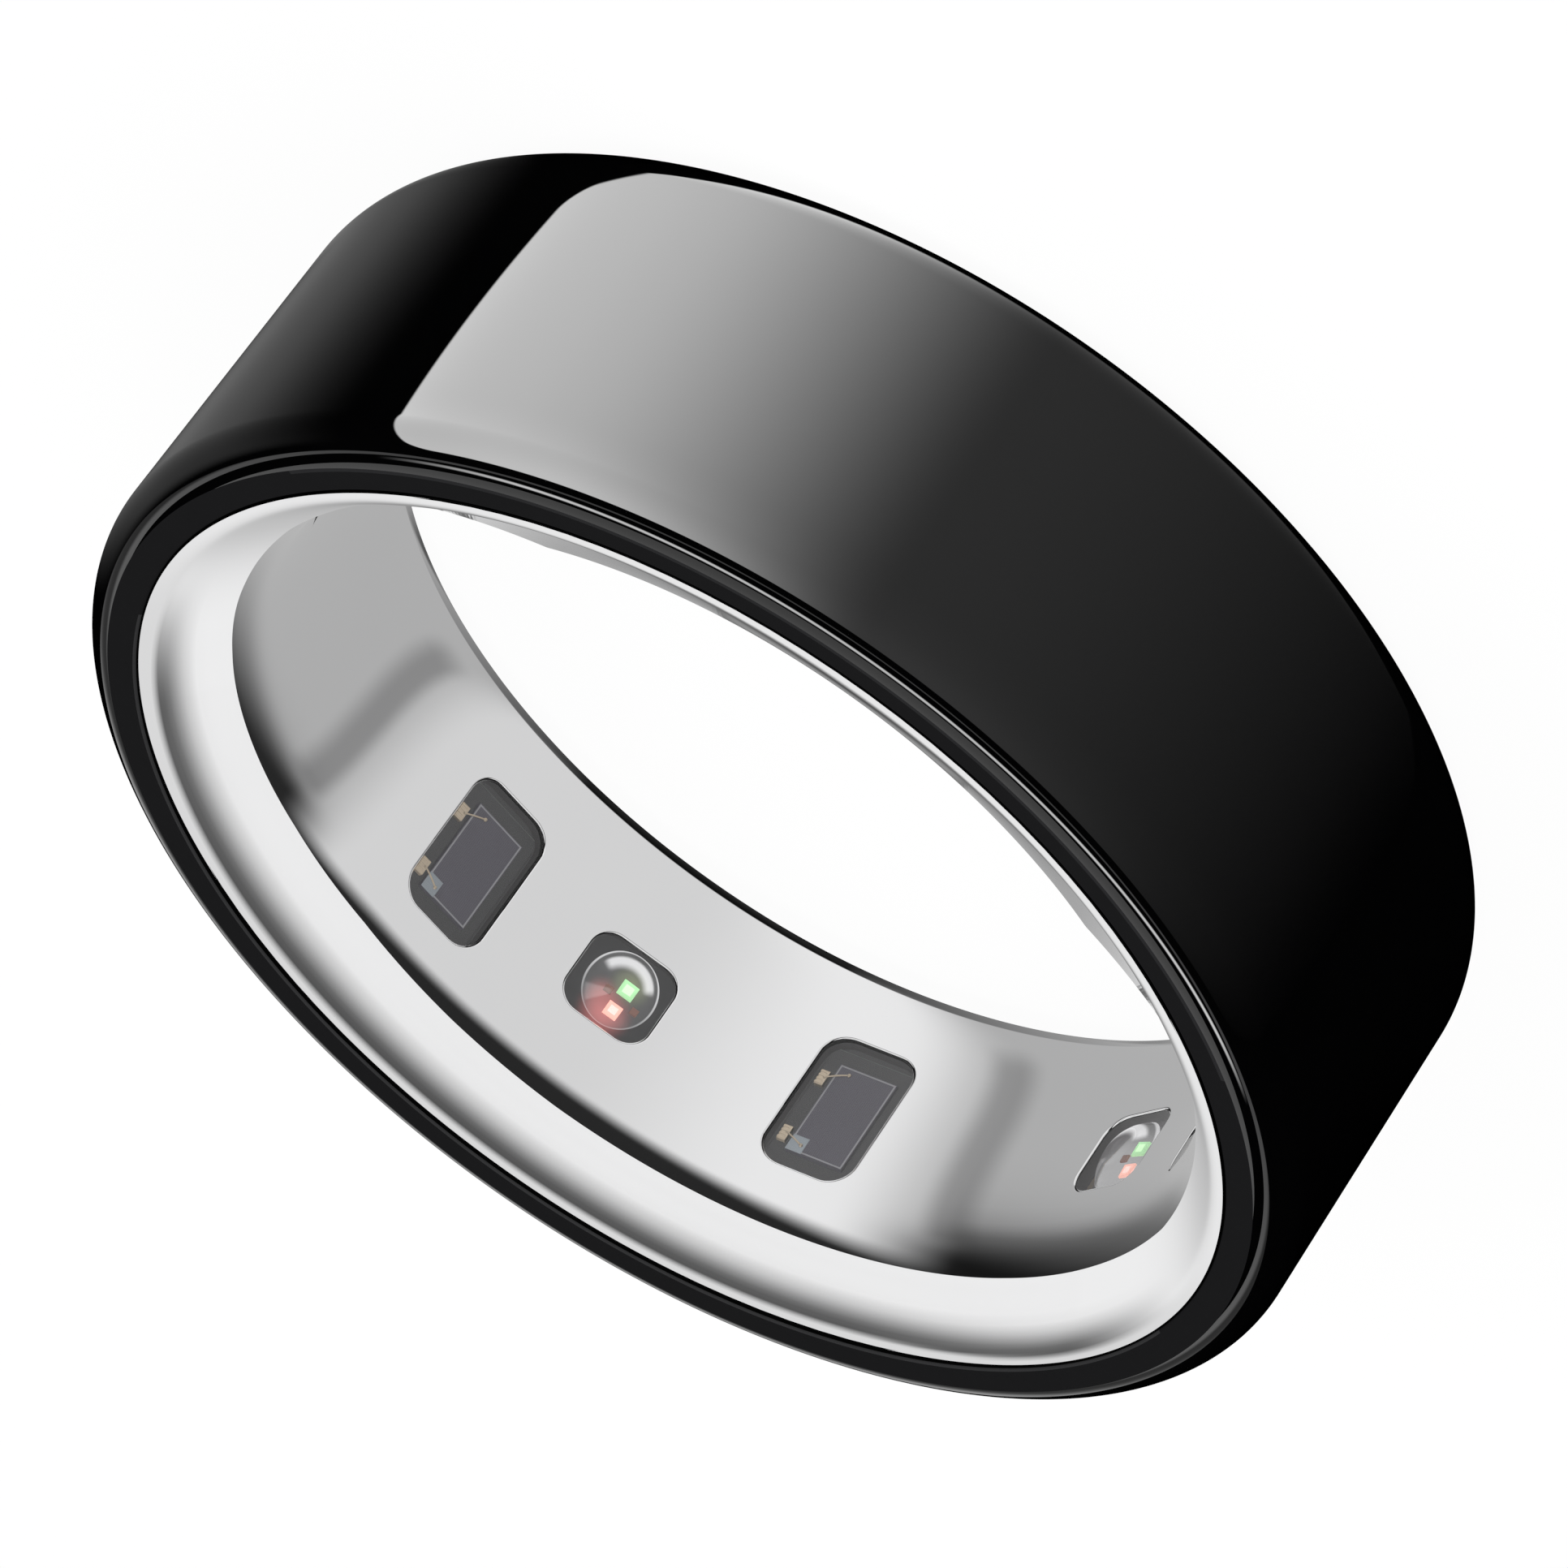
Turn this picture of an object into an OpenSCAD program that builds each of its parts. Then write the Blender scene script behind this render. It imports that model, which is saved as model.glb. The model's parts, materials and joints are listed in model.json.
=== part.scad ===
// Smart ring: a glossy black metal band over a polished silver liner, with sensors
// that look into the finger hole and the electronics wrapped in the space between.
// The ring lies on its side. Z runs along the finger hole and Z = 0 is the lower side
// face. Angles go anticlockwise from +X, and the middle of the sensors is near +Y.

/* [Ring] */
// Diameter of the finger hole
bore_d = 19.8; // [18:0.1:23]
// Width of the band along the finger
band_w = 7.9; // [7.4:0.1:9]

/* [Outer shell] */
// Thickness of the shell round the outside
shell_t = 0.55; // [0.4:0.05:1]
// Thickness of the flange at each side of the shell
flange_t = 0.5; // [0.4:0.05:0.8]
// How far each flange reaches in from the outside
flange_reach = 1.32; // [1.1:0.01:1.5]
// Radius of the two outer edges
edge_r = 0.75; // [0.3:0.05:1]
// Space between liner and shell that holds the electronics
cavity_t = 1.8; // [1.7:0.05:2.4]

/* [Liner] */
// Thickness of the liner
liner_t = 0.45; // [0.35:0.05:0.6]
// Length of the straight middle of the finger hole
land_len = 3.2; // [3.1:0.1:3.8]
// How much wider the finger hole is at the crease than in the middle, on the radius
comfort_drop = 0.2; // [0.1:0.01:0.3]
// Distance of the crease from the side face
crease_depth = 1.18; // [1:0.02:1.4]
// Flat part of the lip at each side of the liner
lip_flat = 0.22; // [0.1:0.01:0.35]
// Radius between the lip and the flare below it
lip_r = 0.3; // [0.1:0.05:0.4]
// How far the lip lies below the side face of the shell
lip_recess = 0.04; // [0:0.01:0.1]
// Width of the glue line between lip and shell
seal_gap = 0.06; // [0.03:0.01:0.1]
// How far the glue lies below the lip
seal_recess = 0.06; // [0.02:0.01:0.2]

/* [Sensor windows] */
// Angles of the three light detectors
detector_angles = [65.9, 117.3, 181.6];
// Angles of the two light sources
lamp_angles = [88.3, 159.2];
// Width of every window round the ring
window_w = 1.76; // [1.5:0.02:1.9]
// Height of a detector window along the finger
detector_window_h = 3; // [2.8:0.05:3.05]
// Height of a lamp window along the finger
lamp_window_h = 1.68; // [1.4:0.02:2]
// Corner radius of a detector window
detector_corner_r = 0.42; // [0.2:0.02:0.6]
// Corner radius of a lamp window
lamp_corner_r = 0.46; // [0.2:0.02:0.6]
// Thickness of the clear window
window_t = 0.14; // [0.08:0.01:0.16]
// How far a window lies below the finger hole's surface
window_recess = 0.02; // [0:0.01:0.05]
// Glue line round a window
window_gap = 0.02; // [0.01:0.01:0.05]

/* [Light detectors] */
// Width of a detector's base round the ring
base_w = 2.2; // [2:0.05:2.3]
// Height of a detector's base along the finger
detector_base_h = 3.5; // [3.3:0.05:4]
// Width of a detector chip
detector_chip_w = 1.28; // [1:0.02:1.3]
// Height of a detector chip
detector_chip_h = 2.24; // [1.8:0.02:2.4]
// Thickness of a detector chip
detector_chip_t = 0.12; // [0.08:0.01:0.15]
// How far a detector chip sits off the middle of its window
detector_chip_shift = 0.06; // [0:0.01:0.1]
// Side of the square contact on a corner of the chip
contact_w = 0.3; // [0.2:0.01:0.4]
// Thickness of metal contacts and pads
contact_t = 0.02; // [0.01:0.01:0.03]
// Size of a gold pad round the ring and along the finger
gold_pad = [0.2, 0.3];
// Distance of the gold pads from the middle of the window
gold_pad_shift = 0.78; // [0.76:0.01:0.8]
// Distance of the gold pads from the middle line of the ring
gold_pad_rise = 0.72; // [0.5:0.02:0.9]
// Diameter of a gold wire
wire_d = 0.05; // [0.03:0.01:0.06]
// Height of a wire's loop above the detector chip
wire_loop = 0.08; // [0.04:0.01:0.08]
// Distance from the middle of the window to where a wire lands on the chip
wire_land_shift = 0.32; // [0.2:0.01:0.4]
// Distance from the middle line of the ring to where a wire lands
wire_land_rise = 0.94; // [0.85:0.02:1]

/* [Lamps] */
// Height of a lamp's base along the finger
lamp_base_h = 2.1; // [2:0.05:2.4]
// Thickness of a lamp's base
lamp_base_t = 0.2; // [0.15:0.01:0.25]
// Radius of the lamp's clear dome
dome_r = 0.73; // [0.6:0.01:0.74]
// Height of the dome above the lamp's base
dome_h = 0.46; // [0.3:0.01:0.47]
// Side of the green and red light chips
light_chip_w = 0.3; // [0.2:0.01:0.34]
// Thickness of the light chips
light_chip_t = 0.1; // [0.06:0.01:0.14]
// Green chip's place round the ring and along the finger
green_place = [0.12, -0.12];
// Red chip's place round the ring and along the finger
red_place = [0.08, 0.3];
// Width and height of an infrared chip
infrared_size = [0.16, 0.2];
// Infrared chips' places round the ring and along the finger
infrared_places = [[-0.2, 0.04], [0.4, 0.2]];

/* [Flex circuit] */
// Thickness of the flex circuit
flex_t = 0.12; // [0.08:0.01:0.15]
// Space left at each side between the liner's flare and the flex circuit or battery
side_gap = 0.1; // [0.05:0.01:0.3]
// Space between the liner and the flex circuit
flex_standoff = 0.48; // [0.47:0.01:0.52]
// Angle where the flex circuit starts
flex_start_angle = -18; // [-20:1:-14]
// Angle where the flex circuit ends
flex_end_angle = 208; // [204:1:209]
// Gap below a chip, where its solder is
solder_gap = 0.01; // [0.01:0.01:0.02]

/* [Chips] */
// Processor: width round the ring, height along the finger, thickness
processor_size = [2.9, 2.9, 0.5];
// Sensor front end chip
front_end_size = [2.2, 2.2, 0.4];
// Memory chip
memory_size = [1.8, 2.2, 0.4];
// Motion sensor
motion_size = [2, 2, 0.6];
// Power chip
power_size = [2.2, 2.2, 0.45];
// Charger chip
charger_size = [1.8, 1.8, 0.4];
// Clock crystal
crystal_size = [1.2, 1.6, 0.35];
// Power inductor
inductor_size = [1.6, 2, 0.6];
// Battery protection chip
protection_size = [1.3, 1.3, 0.4];
// Capacitors
capacitor_size = [0.6, 0.3, 0.3];
// Resistors
resistor_size = [0.6, 0.3, 0.15];
// Skin temperature sensors between liner and flex circuit
skin_sensor_size = [0.5, 1, 0.3];
// Distance of capacitors and resistors from the edge of the flex circuit
passive_margin = 0.4; // [0.2:0.05:0.45]

/* [Battery] */
// Angle where the battery starts
battery_start_angle = 214; // [212:1:220]
// Angle where the battery ends
battery_end_angle = 336; // [300:1:338]
// Radius of the battery's edges
battery_edge_r = 0.25; // [0.1:0.05:0.4]
// Thickness of the glue pad under the battery
battery_glue_t = 0.08; // [0.05:0.01:0.1]
// Gap between the battery and the shell
battery_clear = 0.1; // [0.05:0.01:0.2]
// Width of a battery terminal
terminal_w = 0.8; // [0.5:0.1:1]
// Thickness of a battery terminal
terminal_t = 0.1; // [0.06:0.01:0.15]
// Distance of each terminal from the middle line of the ring
terminal_rise = 1.3; // [1:0.1:1.6]

/* [Charging coil and antenna] */
// Angle where the coil starts
coil_start_angle = -14; // [-15:1:-12]
// Angle where the coil ends
coil_end_angle = 42; // [38:1:46]
// How much narrower the coil is than the flex circuit, at each side
coil_margin = 0.2; // [0.1:0.05:0.4]
// Width of one turn of the coil
coil_trace = 0.16; // [0.1:0.01:0.18]
// Distance from one turn to the next
coil_pitch = 0.28; // [0.26:0.01:0.3]
// Thickness of the coil
coil_t = 0.12; // [0.08:0.01:0.12]
// Least free height in the middle of the coil
coil_middle = 1.3; // [0.4:0.1:2]
// Thickness of the magnetic sheet behind the coil
shield_t = 0.2; // [0.1:0.01:0.2]
// Thickness of the antenna's carrier
carrier_t = 0.85; // [0.4:0.05:0.9]
// How much narrower the antenna's carrier is than the flex circuit, at each side
carrier_margin = 0.15; // [0.05:0.05:0.4]
// Width of the antenna strip
antenna_trace = 0.3; // [0.2:0.05:0.4]
// Thickness of the antenna strip
antenna_t = 0.08; // [0.04:0.01:0.1]

/* [Hidden] */
$fn = 96;

half_w = band_w / 2;
bore_r = bore_d / 2;
liner_r = bore_r + liner_t;
groove_r = liner_r + cavity_t;
outer_r = groove_r + shell_t;
flange_r = outer_r - flange_reach;
// Depth by which a cutter overruns the solid it cuts
over = 0.5;
// Free space kept between parts that aren't glued
clear = 0.02;
// Half height of the groove inside the shell
groove_half = half_w - flange_t;

// Liner outline, from the middle of the hole out to the lip
land_half = land_len / 2;
crease_r = bore_r + comfort_drop;
crease_z = half_w - crease_depth;
lip_z = half_w - lip_recess;
lip_outer_r = flange_r - seal_gap;
flare_top_r = lip_outer_r - lip_flat;
// Radius of the rounded part between the straight middle and the crease
bead_len = crease_z - land_half;
bead_r = (bead_len * bead_len + comfort_drop * comfort_drop) / (2 * comfort_drop);
// Direction of the flare and the wall's offset from it
flare_run = flare_top_r - crease_r;
flare_rise = lip_z - crease_z;
flare_len = sqrt(flare_run * flare_run + flare_rise * flare_rise);
flare_dir = [flare_run, flare_rise] / flare_len;
wall_offset = [flare_dir[1], -flare_dir[0]] * (liner_t - comfort_drop / 4);
back_low = [crease_r, crease_z] + wall_offset;
// Where the back of the flare meets the outside of the lip
back_top_z = back_low[1] + (lip_outer_r - back_low[0]) * flare_dir[1] / flare_dir[0];
back_foot_z = back_low[1] - (back_low[0] - liner_r) * flare_dir[1] / flare_dir[0];
// Distance from the lip's corner to where its rounding starts on each side
lip_tangent = lip_r * tan(acos(flare_dir[0]) / 2);

// Widths along the finger of what lies between the flares
flex_w = 2 * (back_foot_z - side_gap);
battery_w = flex_w;
coil_h = flex_w - 2 * coil_margin;
carrier_h = flex_w - 2 * carrier_margin;
passive_rise = flex_w / 2 - passive_margin;
// As many turns of the coil as its height leaves room for
coil_turns = 1 + floor((coil_h - coil_trace - coil_middle) / 2 / coil_pitch);

// Radial places of what lies between liner and shell
flex_r = liner_r + flex_standoff;
flex_top_r = flex_r + flex_t;
chip_r = flex_top_r + solder_gap;
base_back_r = flex_r - flat_drop(base_w);
detector_base_r = liner_r + clear * 2;
detector_face_r = detector_base_r - detector_chip_t;
lamp_base_r = base_back_r - lamp_base_t;
coil_shield_r = flex_r - clear - shield_t;
coil_r = coil_shield_r - clear - coil_t;
carrier_r = flex_top_r + clear;
carrier_top_r = carrier_r + carrier_t;
battery_glue_r = liner_r + clear;
battery_r = battery_glue_r + battery_glue_t;
battery_top_r = groove_r - battery_clear;

// Angles of the chips on the flex circuit
front_end_angle = 66;
processor_angle = 88;
memory_angle = 108;
motion_angle = 124;
power_angle = 142;
charger_angle = 158;
crystal_angle = 173;
inductor_angle = 184;
protection_angle = 196;
skin_sensor_angles = [77.2, 102.6, 138];
passive_angles = [58, 64, 70, 76, 99, 105, 111, 117, 123, 129, 135, 141, 147, 153, 160, 170];
terminal_start_angle = 202;
// Width of the coil between its outer legs' middles, and the antenna's folds
coil_half_angle = (coil_end_angle - coil_start_angle) / 2;
coil_chord = 2 * coil_r * sin(coil_half_angle) - coil_trace;
antenna_bars = 7;
antenna_step = (coil_end_angle - coil_start_angle) / (antenna_bars + 1);

// How far the back corners of a flat piece stand out beyond its middle
function flat_drop(wide) = (liner_r + flex_standoff)
    - sqrt(pow(liner_r + flex_standoff, 2) - wide * wide / 4) + clear / 4;

// Lifts the ring so that its lower side face is at zero
module raised() {
    translate([0, 0, half_w]) children();
}

// Puts a piece on the ring at an angle, a distance from the axis and a height
module on_ring(angle, dist, rise = 0) {
    rotate([0, 0, angle]) translate([dist, 0, rise]) children();
}

// A flat piece whose inner face is at the origin
module plate(wide, tall, thick) {
    translate([0, -wide / 2, -tall / 2]) cube([thick, wide, tall]);
}

// A curved piece of rectangular section between two angles
module arc_bar(inner, thick, low, tall, from, to) {
    rotate([0, 0, from])
        rotate_extrude(angle = to - from)
            translate([inner, low]) square([thick, tall]);
}

// A full ring of rectangular section
module hoop(inner, outer, low, high) {
    rotate_extrude() translate([inner, low]) square([outer - inner, high - low]);
}

// A rectangle with round corners, centred on the origin
module round_rect(wide, tall, corner) {
    square([wide - 2 * corner, tall], center = true);
    square([wide, tall - 2 * corner], center = true);
    for (sx = [-1, 1], sy = [-1, 1])
        translate([sx * (wide / 2 - corner), sy * (tall / 2 - corner)]) circle(corner);
}

// A round-cornered prism that runs outward from a distance from the axis
module window_prism(angle, dist, depth, wide, tall, corner) {
    on_ring(angle, dist)
        rotate([90, 0, 90])
            linear_extrude(depth) round_rect(wide, tall, corner);
}

// The outline of one half of the liner, cut at the middle of the ring
module liner_half() {
    flare_start = [flare_top_r, lip_z] - lip_tangent * flare_dir;
    lip_start = [flare_top_r + lip_tangent, lip_z];
    difference() {
        polygon([
            [bore_r, -clear],
            [bore_r, crease_z],
            [crease_r, crease_z],
            [flare_top_r, lip_z],
            [lip_outer_r, lip_z],
            [lip_outer_r, back_top_z],
            [liner_r, back_foot_z],
            [liner_r, -clear]
        ]);
        // Rounded part of the hole between its straight middle and the crease
        difference() {
            polygon([
                [bore_r - clear, land_half],
                [bore_r - clear, crease_z + clear],
                [crease_r, crease_z + clear],
                [crease_r, crease_z],
                [bore_r, land_half]
            ]);
            translate([bore_r + bead_r, land_half]) circle(bead_r);
        }
        // Rounded edge between the flare and the flat lip
        difference() {
            polygon([flare_start, flare_start + [-clear, clear], [flare_top_r, lip_z + clear],
                lip_start + [0, clear], lip_start]);
            translate(lip_start - [0, lip_r]) circle(lip_r);
        }
    }
}

module outer_shell() {
    color([0.03, 0.03, 0.035]) raised() rotate_extrude() difference() {
        translate([flange_r, -half_w]) square([flange_reach, band_w]);
        translate([flange_r - over, -groove_half]) square([groove_r - flange_r + over, 2 * groove_half]);
        // Rounded outer edges
        for (side = [0, 1])
            mirror([0, side])
                translate([outer_r - edge_r, half_w - edge_r])
                    difference() {
                        square(edge_r + clear);
                        circle(edge_r);
                    }
    }
}

module inner_liner() {
    color([0.86, 0.86, 0.87]) raised() difference() {
        rotate_extrude() {
            liner_half();
            mirror([0, 1]) liner_half();
        }
        for (angle = detector_angles)
            window_prism(angle, bore_r - over, liner_t + 2 * over, window_w, detector_window_h,
                detector_corner_r);
        for (angle = lamp_angles)
            window_prism(angle, bore_r - over, liner_t + 2 * over, window_w, lamp_window_h,
                lamp_corner_r);
    }
}

// The glue line between lip and shell, on the side given by +1 or -1
module seal(side) {
    raised() mirror([0, 0, side < 0 ? 1 : 0])
        hoop(lip_outer_r, flange_r, max(groove_half, back_top_z), lip_z - seal_recess);
}

module front_seal() {
    color([0.05, 0.05, 0.05]) seal(1);
}

module rear_seal() {
    color([0.05, 0.05, 0.05]) seal(-1);
}

// The bead of resin behind a flange, on the side given by +1 or -1
module potting(side) {
    bead_h = groove_half - battery_w / 2 - clear * 2;
    raised() mirror([0, 0, side < 0 ? 1 : 0])
        hoop(flange_r, groove_r, groove_half - bead_h, groove_half);
}

module front_potting() {
    color([0.2, 0.2, 0.22]) potting(1);
}

module rear_potting() {
    color([0.2, 0.2, 0.22]) potting(-1);
}

// A clear window that follows the curve of the finger hole
module clear_window(angle, tall, corner) {
    intersection() {
        hoop(bore_r + window_recess, bore_r + window_recess + window_t, -land_half, land_half);
        window_prism(angle, bore_r - over, liner_t + 2 * over, window_w - 2 * window_gap,
            tall - 2 * window_gap, corner - window_gap);
    }
}

module detector_windows() {
    color([0.35, 0.35, 0.38]) raised()
        for (angle = detector_angles) clear_window(angle, detector_window_h, detector_corner_r);
}

module lamp_windows() {
    color([0.35, 0.35, 0.38]) raised()
        for (angle = lamp_angles) clear_window(angle, lamp_window_h, lamp_corner_r);
}

module detector_bases() {
    color([0.08, 0.08, 0.09]) raised()
        for (angle = detector_angles)
            on_ring(angle, detector_base_r) plate(base_w, detector_base_h, base_back_r - detector_base_r);
}

module detector_chips() {
    color([0.2, 0.19, 0.25]) raised()
        for (angle = detector_angles)
            on_ring(angle, detector_face_r)
                translate([0, detector_chip_shift, 0])
                    plate(detector_chip_w, detector_chip_h, detector_chip_t);
}

module chip_contacts() {
    color([0.5, 0.52, 0.55]) raised()
        for (angle = detector_angles)
            on_ring(angle, detector_face_r - contact_t)
                translate([0, detector_chip_shift - (detector_chip_w - contact_w) / 2,
                    (detector_chip_h - contact_w) / 2])
                    plate(contact_w, contact_w, contact_t);
}

module gold_pads() {
    color([0.85, 0.65, 0.35]) raised()
        for (angle = detector_angles, side = [-1, 1])
            on_ring(angle, detector_base_r - contact_t)
                translate([0, -gold_pad_shift, side * gold_pad_rise])
                    plate(gold_pad[0], gold_pad[1], contact_t);
}

// One gold wire: it rises from its pad, runs over to the chip and comes down on it
module gold_wire(side) {
    pad_x = detector_base_r - contact_t;
    top_x = detector_face_r - wire_loop;
    end_x = detector_face_r - (side > 0 ? contact_t : 0);
    start = [-gold_pad_shift, side * gold_pad_rise];
    finish = [-wire_land_shift, side * wire_land_rise];
    run = finish - start;
    reach = norm(run);
    translate([top_x, start[0], start[1]]) rotate([0, 90, 0]) cylinder(d = wire_d, h = pad_x - top_x);
    translate([top_x, finish[0], finish[1]]) rotate([0, 90, 0]) cylinder(d = wire_d, h = end_x - top_x);
    translate([top_x, start[0], start[1]])
        rotate([atan2(run[1], run[0]), 0, 0]) rotate([-90, 0, 0]) cylinder(d = wire_d, h = reach);
    for (place = [start, finish])
        translate([top_x, place[0], place[1]]) sphere(d = wire_d);
}

module gold_wires() {
    color([0.9, 0.7, 0.4]) raised()
        for (angle = detector_angles, side = [-1, 1])
            rotate([0, 0, angle]) gold_wire(side);
}

module lamp_bases() {
    color([0.08, 0.08, 0.09]) raised()
        for (angle = lamp_angles)
            on_ring(angle, lamp_base_r) plate(base_w, lamp_base_h, lamp_base_t);
}

// Black frames that keep the lamps' light from leaking behind the liner
module lamp_frames() {
    color([0.04, 0.04, 0.04]) raised()
        for (angle = lamp_angles) difference() {
            on_ring(angle, liner_r + clear) plate(base_w, lamp_base_h, lamp_base_r - liner_r - clear);
            window_prism(angle, bore_r, lamp_base_r, window_w, lamp_window_h, lamp_corner_r);
        }
}

// One light chip on a lamp's base, larger by a gap where it cuts a pocket
module light_chip(place, size, gap = 0) {
    translate([-light_chip_t - gap, place[0], place[1]])
        plate(size[0] + 2 * gap, size[1] + 2 * gap, light_chip_t + gap + (gap > 0 ? clear : 0));
}

module lamp_domes() {
    color([0.9, 0.92, 0.92]) raised()
        for (angle = lamp_angles)
            on_ring(angle, lamp_base_r) difference() {
                intersection() {
                    translate([dome_r - dome_h, 0, 0]) sphere(dome_r);
                    translate([-dome_h - clear, -dome_r, -dome_r])
                        cube([dome_h + clear, 2 * dome_r, 2 * dome_r]);
                }
                light_chip(green_place, [light_chip_w, light_chip_w], clear / 2);
                light_chip(red_place, [light_chip_w, light_chip_w], clear / 2);
                for (place = infrared_places) light_chip(place, infrared_size, clear / 2);
            }
}

module green_light_chips() {
    color([0.5, 0.95, 0.55]) raised()
        for (angle = lamp_angles)
            on_ring(angle, lamp_base_r) light_chip(green_place, [light_chip_w, light_chip_w]);
}

module red_light_chips() {
    color([0.95, 0.45, 0.4]) raised()
        for (angle = lamp_angles)
            on_ring(angle, lamp_base_r) light_chip(red_place, [light_chip_w, light_chip_w]);
}

module infrared_chips() {
    color([0.5, 0.3, 0.2]) raised()
        for (angle = lamp_angles, place = infrared_places)
            on_ring(angle, lamp_base_r) light_chip(place, infrared_size);
}

module temperature_sensors() {
    color([0.75, 0.72, 0.65]) raised()
        for (angle = skin_sensor_angles)
            on_ring(angle, liner_r + clear)
                plate(skin_sensor_size[0], skin_sensor_size[1], skin_sensor_size[2]);
}

module flex_circuit() {
    color([0.75, 0.45, 0.1]) raised()
        arc_bar(flex_r, flex_t, -flex_w / 2, flex_w, flex_start_angle, flex_end_angle);
}

// A chip package on the outside of the flex circuit
module chip(angle, size, rise = 0) {
    on_ring(angle, chip_r, rise) plate(size[0], size[1], size[2]);
}

module front_end_chip() {
    color([0.1, 0.1, 0.11]) raised() chip(front_end_angle, front_end_size);
}

module processor_chip() {
    color([0.1, 0.1, 0.11]) raised() chip(processor_angle, processor_size);
}

module memory_chip() {
    color([0.1, 0.1, 0.11]) raised() chip(memory_angle, memory_size);
}

module motion_sensor() {
    color([0.7, 0.7, 0.72]) raised() chip(motion_angle, motion_size);
}

module power_chip() {
    color([0.1, 0.1, 0.11]) raised() chip(power_angle, power_size);
}

module charger_chip() {
    color([0.1, 0.1, 0.11]) raised() chip(charger_angle, charger_size);
}

module clock_crystal() {
    color([0.8, 0.8, 0.8]) raised() chip(crystal_angle, crystal_size);
}

module power_inductor() {
    color([0.25, 0.25, 0.27]) raised() chip(inductor_angle, inductor_size);
}

module protection_chip() {
    color([0.1, 0.1, 0.11]) raised() chip(protection_angle, protection_size);
}

module capacitors() {
    color([0.72, 0.6, 0.45]) raised()
        for (angle = passive_angles) chip(angle, capacitor_size, passive_rise);
}

module resistors() {
    color([0.15, 0.15, 0.16]) raised()
        for (angle = passive_angles) chip(angle, resistor_size, -passive_rise);
}

// A cut right through a thin curved sheet, between two angles and two heights
module sheet_cut(inner, thick, from, to, low, high) {
    arc_bar(inner - over, thick + 2 * over, low, high - low, from, to);
}

// Corners of one turn of the coil, on its outer edge (+1) or its inner edge (-1)
function coil_corners(turn, edge) = let (
    wide = coil_chord / 2 - turn * coil_pitch,
    tall = (coil_h - coil_trace) / 2 - turn * coil_pitch,
    grow = edge * coil_trace / 2,
    first = turn == 0 ? [-wide - coil_trace / 2, tall + grow] : [-wide - coil_pitch - grow, tall + grow],
    end = turn == coil_turns - 1 ? [-wide - coil_trace / 2, -tall - grow] : [-wide - grow, -tall - grow]
) [first, [wide + grow, tall + grow], [wide + grow, -tall - grow], end];

// One unbroken square spiral that follows the curve of the ring
module charging_coil() {
    outer_edge = [for (turn = [0 : coil_turns - 1]) each coil_corners(turn, 1)];
    inner_edge = [for (turn = [0 : coil_turns - 1]) each coil_corners(turn, -1)];
    count = len(inner_edge);
    color([0.8, 0.45, 0.25]) raised() intersection() {
        hoop(coil_r, coil_r + coil_t, -coil_h, coil_h);
        on_ring((coil_start_angle + coil_end_angle) / 2, coil_r / 2)
            rotate([90, 0, 90]) linear_extrude(coil_r)
                polygon(concat(outer_edge, [for (i = [1 : count]) inner_edge[count - i]]));
    }
}

module coil_shield() {
    color([0.25, 0.24, 0.24]) raised()
        arc_bar(coil_shield_r, shield_t, -coil_h / 2, coil_h, coil_start_angle, coil_end_angle);
}

module antenna_carrier() {
    color([0.3, 0.3, 0.32]) raised()
        arc_bar(carrier_r, carrier_t, -carrier_h / 2, carrier_h, coil_start_angle, coil_end_angle);
}

// A folded strip on the outside of the carrier, left between the notches cut in a sheet
module antenna_strip() {
    reach = carrier_h / 2 - antenna_trace;
    half = antenna_trace / carrier_top_r * 90 / PI;
    color([0.85, 0.6, 0.3]) raised() difference() {
        arc_bar(carrier_top_r, antenna_t, -reach, 2 * reach, coil_start_angle + antenna_step - half,
            coil_end_angle - antenna_step + half);
        for (bar = [1 : antenna_bars - 1]) {
            angle = coil_start_angle + bar * antenna_step;
            low = bar % 2 == 0 ? antenna_trace - reach : -reach - over;
            high = bar % 2 == 0 ? reach + over : reach - antenna_trace;
            sheet_cut(carrier_top_r, antenna_t, angle + half, angle + antenna_step - half, low, high);
        }
    }
}

module battery_cell() {
    thick = battery_top_r - battery_r;
    color([0.6, 0.62, 0.65]) raised()
        rotate([0, 0, battery_start_angle])
            rotate_extrude(angle = battery_end_angle - battery_start_angle)
                translate([battery_r + thick / 2, 0]) round_rect(thick, battery_w, battery_edge_r);
}

module battery_glue() {
    pad_w = battery_w - 2 * battery_edge_r;
    color([0.85, 0.83, 0.75]) raised()
        arc_bar(battery_glue_r, battery_glue_t, -pad_w / 2, pad_w, battery_start_angle, battery_end_angle);
}

module battery_terminals() {
    color([0.78, 0.76, 0.7]) raised()
        for (side = [-1, 1])
            arc_bar(flex_top_r, terminal_t, side * terminal_rise - terminal_w / 2, terminal_w,
                terminal_start_angle, battery_start_angle);
}

outer_shell();
inner_liner();
front_seal();
rear_seal();
front_potting();
rear_potting();
detector_windows();
lamp_windows();
detector_bases();
detector_chips();
chip_contacts();
gold_pads();
gold_wires();
lamp_bases();
lamp_frames();
lamp_domes();
green_light_chips();
red_light_chips();
infrared_chips();
temperature_sensors();
flex_circuit();
front_end_chip();
processor_chip();
memory_chip();
motion_sensor();
power_chip();
charger_chip();
clock_crystal();
power_inductor();
protection_chip();
capacitors();
resistors();
charging_coil();
coil_shield();
antenna_carrier();
antenna_strip();
battery_cell();
battery_glue();
battery_terminals();
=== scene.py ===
import json
import math

import bpy
from mathutils import Matrix, Vector, geometry


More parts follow.
